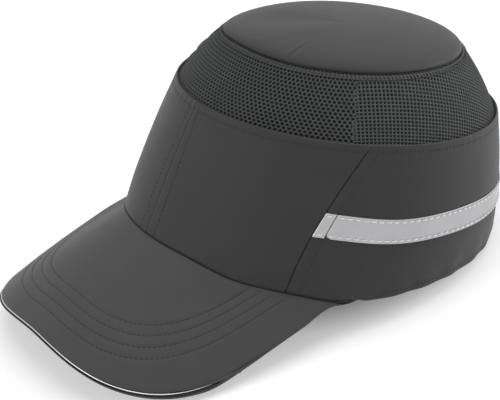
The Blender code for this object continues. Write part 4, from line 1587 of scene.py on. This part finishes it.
def add_strap():
    low, high = STRAP_LIFT, STRAP_LIFT + STRAP_WIDTH
    hook = STRAP_ARC_RADIUS - CLOTH - FIT
    hook_patch = hook - STRAP_THICKNESS - SEAM_GAP
    loop_patch = hook_patch - PATCH_THICKNESS - SEAM_GAP
    loop = STRAP_ARC_RADIUS - SWEATBAND_INSET - SWEATBAND_THICKNESS - FIT
    tab_start = BACK + HOOK_STRAP_REACH[1]
    tab_end = tab_start + PULL_TAB_LENGTH
    gap = SEAM_GAP / STRAP_ARC_RADIUS
    margin = PATCH_MARGIN / STRAP_ARC_RADIUS
    pieces = (
        ("strap_hook_webbing", "strap_hook_side", "webbing", "webbing", "hook_strap",
         hook, BACK + HOOK_STRAP_REACH[0], tab_start - gap, 0, STRAP_THICKNESS),
        ("pull_tab_webbing", "strap_pull_tab", "webbing", "webbing", "pull_tab",
         hook, tab_start, tab_end, 0, STRAP_THICKNESS),
        ("hook_patch_pile", "strap_hook_patch", "pile", "pile", "pull_tab",
         hook_patch, tab_start + margin, tab_end - margin, PATCH_MARGIN, PATCH_THICKNESS),
        ("loop_patch_pile", "strap_loop_patch", "pile", "pile", "cap",
         loop_patch, BACK + LOOP_PATCH_REACH[0], BACK + LOOP_PATCH_REACH[1], PATCH_MARGIN,
         loop_patch - loop - SEAM_GAP),
        ("strap_loop_webbing", "strap_loop_side", "webbing", "webbing", "cap",
         loop, BACK + LOOP_STRAP_REACH[0], BACK + LOOP_STRAP_REACH[1], 0, STRAP_THICKNESS),
    )
    for name, node, finish, slot, body, radius, start, end, edge, thickness in pieces:
        place = patch(fixed(start), fixed(end), fixed(low + edge), fixed(high - edge))
        add_band(name, node, finish, slot, strap_arc(radius), place,
                 even(30, 0.03), even(10, 0.04), thickness, body)
    foot, head = low + STRAP_STITCH_MARGIN, high - STRAP_STITCH_MARGIN
    inner = STRAP_STITCH_MARGIN / STRAP_ARC_RADIUS

    def edge_rows(start, end):
        around = np.linspace(start + inner, end - inner, 120)
        return [(strap_arc(hook)(around, height + 0 * around), outward(around)) for height in (foot, head)]

    def end_rows(start, end):
        up = np.linspace(foot, head, 20)
        turns = (start + inner, end - inner)
        return [(strap_arc(hook)(turn + 0 * up, up), outward(turn + 0 * up)) for turn in turns]

    strap_start = BACK + HOOK_STRAP_REACH[0]
    add_stitches("strap_stitching", "dark_thread", "webbing", edge_rows(strap_start, tab_start), "hook_strap")
    box = edge_rows(tab_start, tab_end) + end_rows(tab_start, tab_end)
    add_stitches("pull_tab_stitching", "dark_thread", "webbing", box, "pull_tab")


# Insert


def add_insert():
    add_shell()
    padding = inset(shell, SHELL_THICKNESS + 2 * FIT)
    pads = {"front_pad": 0, "side_pad_left": QUARTER_TURN, "back_pad": BACK, "side_pad_right": -QUARTER_TURN}
    for node, middle in pads.items():
        place = patch(fixed(middle - PAD_HALF_ANGLE), fixed(middle + PAD_HALF_ANGLE), *map(fixed, PAD_SHARES))
        add_pad(node, padding, place, PAD_THICKNESS)
    add_crown_pad(padding)
    add_insert_patches()


def crowned(u, v):
    """A pad's thickness as a share of its greatest, drawn in towards its edges."""
    across = 1 - np.abs(2 * u - 1) ** PAD_POWER
    up = 1 - np.abs(2 * v - 1) ** PAD_POWER
    return PAD_EDGE + (1 - PAD_EDGE) * np.sqrt(np.maximum(across * up, 0)) - form(PAD_CHANNEL, u - 0.5)


def add_pad(node, surface, place, thickness):
    columns, rows = even(36, 0.03), even(24, 0.03)
    front, normal = lay(surface, place, columns, rows)
    u, v = np.meshgrid(columns, rows, indexing="ij")
    item = add_cloth(node + "_foam", "foam", "foam", front, normal, thickness * crowned(u, v), "insert")
    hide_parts(node)


def add_crown_pad(surface):
    around = np.linspace(0, FULL_TURN, 97)
    inwards = steps((0, 0.06, 3), (0.06, 1, 16))
    angle, v = np.meshgrid(around, inwards, indexing="ij")
    share = CROWN_PAD_SHARE + (3 - CROWN_PAD_SHARE) * v
    front = surface(angle, np.minimum(share, SHELL_NEAR_MIDDLE))
    normal = normal_of(shell, angle, np.minimum(share, SHELL_NEAR_MIDDLE))
    front[:, -1] = front[:, -2].mean(axis=0)
    normal[:, -1] = (0, 0, 1)
    profile = CROWN_PAD_EDGE + (1 - CROWN_PAD_EDGE) * np.sqrt(1 - (1 - v) ** CROWN_PAD_POWER)
    item = add_cloth("crown_pad_foam", "foam", "foam", front, normal, CROWN_PAD_THICKNESS * profile, "insert",
                     wraps=True, pole=True)
    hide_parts("crown_pad")


def add_shell():
    rows = 3 * SHELL_ROWS
    around = np.linspace(0, FULL_TURN, SHELL_COLUMNS + 1)
    up = np.linspace(0, 3, rows + 1)
    angle, share = np.meshgrid(around, up, indexing="ij")
    points = shell(angle, share)
    index = np.arange(angle.size).reshape(angle.shape)
    faces = []
    for column in range(SHELL_COLUMNS):
        for row in range(rows):
            vent = SHELL_ROWS < row < 2 * SHELL_ROWS - 1 and column % VENT_EVERY == 0
            if not vent:
                faces.append([int(index[column, row]), int(index[column + 1, row]),
                              int(index[column + 1, row + 1]), int(index[column, row + 1])])
    item = add_mesh("shell_moulding", points.reshape(-1, 3), faces, "abs", "insert", "abs")
    weld(item)
    solidify = item.modifiers.new("thickness", "SOLIDIFY")
    solidify.thickness = SHELL_THICKNESS
    solidify.offset = -1
    solidify.use_even_offset = True
    smooth = item.modifiers.new("smooth", "SUBSURF")
    smooth.levels = 2
    smooth.render_levels = 2
    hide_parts("protective_shell")


def add_insert_patches():
    loop_side = inset(wall, CLOTH + FIT)
    hook_outset = SHELL_CLEARANCE - CLOTH - INSERT_PATCH_THICKNESS - 3 * FIT
    hook_side = inset(shell, -hook_outset - SEAM_GAP)
    foot, head = INSERT_PATCH_FOOT, INSERT_PATCH_FOOT + INSERT_PATCH_WIDTH

    def shell_share(angle, height):
        low = shell_rim(angle)[..., 2]
        return (height - low) / (shell_shoulder(angle)[..., 2] - low)

    def between(share_at):
        return lambda angle: share_at(angle, foot), lambda angle: share_at(angle, head)

    for side, middle in (("left", QUARTER_TURN), ("right", -QUARTER_TURN)):
        start, end = fixed(middle - INSERT_PATCH_HALF_ANGLE), fixed(middle + INSERT_PATCH_HALF_ANGLE)
        loop = patch(start, end, *between(wall_share))
        hook = patch(start, end, *between(shell_share))
        add_band(f"insert_loop_{side}_pile", "insert_loop_" + side, "pile", "pile", loop_side, loop,
                 even(16, 0.04), even(10, 0.06), INSERT_PATCH_THICKNESS)
        add_band(f"insert_hook_{side}_pile", "insert_hook_" + side, "pile", "pile", hook_side, hook,
                 even(16, 0.04), even(10, 0.06), hook_outset, "insert")


# Stage: floor, light and camera


CAMERA_AZIMUTH = math.radians(53.103)
CAMERA_ELEVATION = math.radians(26.742)
CAMERA_ROLL = math.radians(3.569)
CAMERA_DISTANCE = 1.328
CAMERA_LENS = 166.5
CAMERA_AIM_RIGHT = -0.03423
CAMERA_AIM_UP = 0.01427
CAMERA_SENSOR = 36
CAMERA_SIGHT = 20

# Floor: its glow is given at distances from the middle of a painted shade under the cap, in sizes of that
# shade
FLOOR_HALF_SIZE = 4
FLOOR_COLOUR = (0.82, 0.82, 0.82, 1)
FLOOR_ROUGHNESS = 0.9
FLOOR_SHADE_Y = 0.035
FLOOR_SHADE_SIZE = (0.09, 0.11, 1.0)
FLOOR_GLOW_REACH = 30
FLOOR_GLOW = ((0.60, 0.08), (0.95, 0.44), (6, 0.44), (25, 0.75))

# Light: the world's share that falls on the cap, and each lamp's place, size and power
WORLD_LIGHT = 0.34
LAMP_TARGET = (0, 0, 0.07)
LAMPS = {
    "top_softbox": ((0.0, 0.2, 1.6), 1.4, 10),
    "left_softbox": ((0.0, -1.7, 0.7), 0.9, 7),
    "right_softbox": ((0.4, 1.9, 0.7), 0.9, 15),
}


def add_camera():
    across, ahead = math.cos(CAMERA_ELEVATION), math.sin(CAMERA_ELEVATION)
    back = np.array([math.sin(CAMERA_AZIMUTH) * across, -math.cos(CAMERA_AZIMUTH) * across, ahead])
    level = np.array([math.cos(CAMERA_AZIMUTH), math.sin(CAMERA_AZIMUTH), 0])
    upright = np.cross(back, level)
    right = level * math.cos(CAMERA_ROLL) + upright * math.sin(CAMERA_ROLL)
    up = upright * math.cos(CAMERA_ROLL) - level * math.sin(CAMERA_ROLL)
    eye = back * CAMERA_DISTANCE
    aim = right * CAMERA_AIM_RIGHT + up * CAMERA_AIM_UP
    back = unit(eye - aim)
    right = unit(np.cross(up, back))
    up = np.cross(back, right)
    turn = np.stack([right, up, back]) @ CAP_AXES
    camera = bpy.data.objects.new("camera", bpy.data.cameras.new("camera"))
    camera.data.lens = CAMERA_LENS
    camera.data.sensor_width = CAMERA_SENSOR
    camera.data.sensor_fit = "HORIZONTAL"
    camera.data.clip_end = CAMERA_SIGHT
    camera.matrix_world = Matrix.Translation(Vector(to_world(eye))) @ Matrix(turn.T.tolist()).to_4x4()
    bpy.context.scene.collection.objects.link(camera)
    bpy.context.scene.camera = camera


def pale_rays(tree):
    """1 for rays that see the backdrop itself: from the camera, or off a mirror or through glass."""
    path = add_node(tree, "LightPath").outputs
    seen = path["Is Camera Ray"]
    for other in ("Is Glossy Ray", "Is Transmission Ray"):
        seen = add_node(tree, "Math", {0: seen, 1: path[other]}, operation="MAXIMUM").outputs["Value"]
    return seen


def floor_glow_with_painted_shade(tree):
    """The floor's own light: little under the cap, a painted shade, and more far off, out of the lamps'
    reach.
    """
    values = {"Location": (0, FLOOR_SHADE_Y, 0), "Scale": FLOOR_SHADE_SIZE}
    mapping = add_node(tree, "Mapping", {"Vector": object_coordinates(tree)}, values, vector_type="TEXTURE")
    reach = add_node(tree, "VectorMath", {0: mapping.outputs["Vector"]}, operation="LENGTH")
    share = add_node(tree, "Math", {0: reach.outputs["Value"]}, {1: FLOOR_GLOW_REACH}, operation="DIVIDE")
    ramp = add_node(tree, "ValToRGB", {"Fac": share.outputs["Value"]})
    ramp.color_ramp.elements.new(0.5)
    ramp.color_ramp.elements.new(0.5)
    for stop, (place, glow) in zip(ramp.color_ramp.elements, FLOOR_GLOW):
        stop.position = place / FLOOR_GLOW_REACH
        stop.color = (glow, glow, glow, 1)
    return ramp.outputs["Color"]


def add_floor():
    data = bpy.data.meshes.new("floor")
    shape = bmesh.new()
    bmesh.ops.create_grid(shape, x_segments=1, y_segments=1, size=FLOOR_HALF_SIZE)
    shape.to_mesh(data)
    shape.free()
    material = bpy.data.materials.new("floor_paper")
    material.use_nodes = True
    tree = material.node_tree
    shader = tree.nodes["Principled BSDF"]
    shader.inputs["Base Color"].default_value = FLOOR_COLOUR
    shader.inputs["Roughness"].default_value = FLOOR_ROUGHNESS
    shader.inputs["Emission Color"].default_value = (1, 1, 1, 1)
    glow = add_node(tree, "Math", {0: pale_rays(tree), 1: floor_glow_with_painted_shade(tree)}, operation="MULTIPLY")
    tree.links.new(glow.outputs["Value"], shader.inputs["Emission Strength"])
    data.materials.append(material)
    floor = bpy.data.objects.new("floor", data)
    bpy.context.scene.collection.objects.link(floor)


def add_world():
    world = bpy.data.worlds.new("studio")
    world.use_nodes = True
    tree = world.node_tree
    background = tree.nodes["Background"]
    background.inputs["Color"].default_value = (1, 1, 1, 1)
    strength = add_node(tree, "MapRange", {"Value": pale_rays(tree)}, {"To Min": WORLD_LIGHT, "To Max": 1.0})
    tree.links.new(strength.outputs["Result"], background.inputs["Strength"])
    bpy.context.scene.world = world


def add_lamps():
    for name, (place, size, power) in LAMPS.items():
        data = bpy.data.lights.new(name, "AREA")
        data.energy = power
        data.size = size
        lamp = bpy.data.objects.new(name, data)
        lamp.location = place
        lamp.rotation_euler = (Vector(LAMP_TARGET) - Vector(place)).to_track_quat("-Z", "Y").to_euler()
        bpy.context.scene.collection.objects.link(lamp)


def add_stage():
    add_floor()
    add_world()
    add_lamps()
    add_camera()
    bpy.context.scene.view_settings.view_transform = "Standard"


add_panels()
add_crown_stitching()
add_top()
add_mesh_band()
add_tape()
add_binding()
add_visor()
add_seam_tapes()
add_hem()
add_strap()
add_insert()
add_stage()
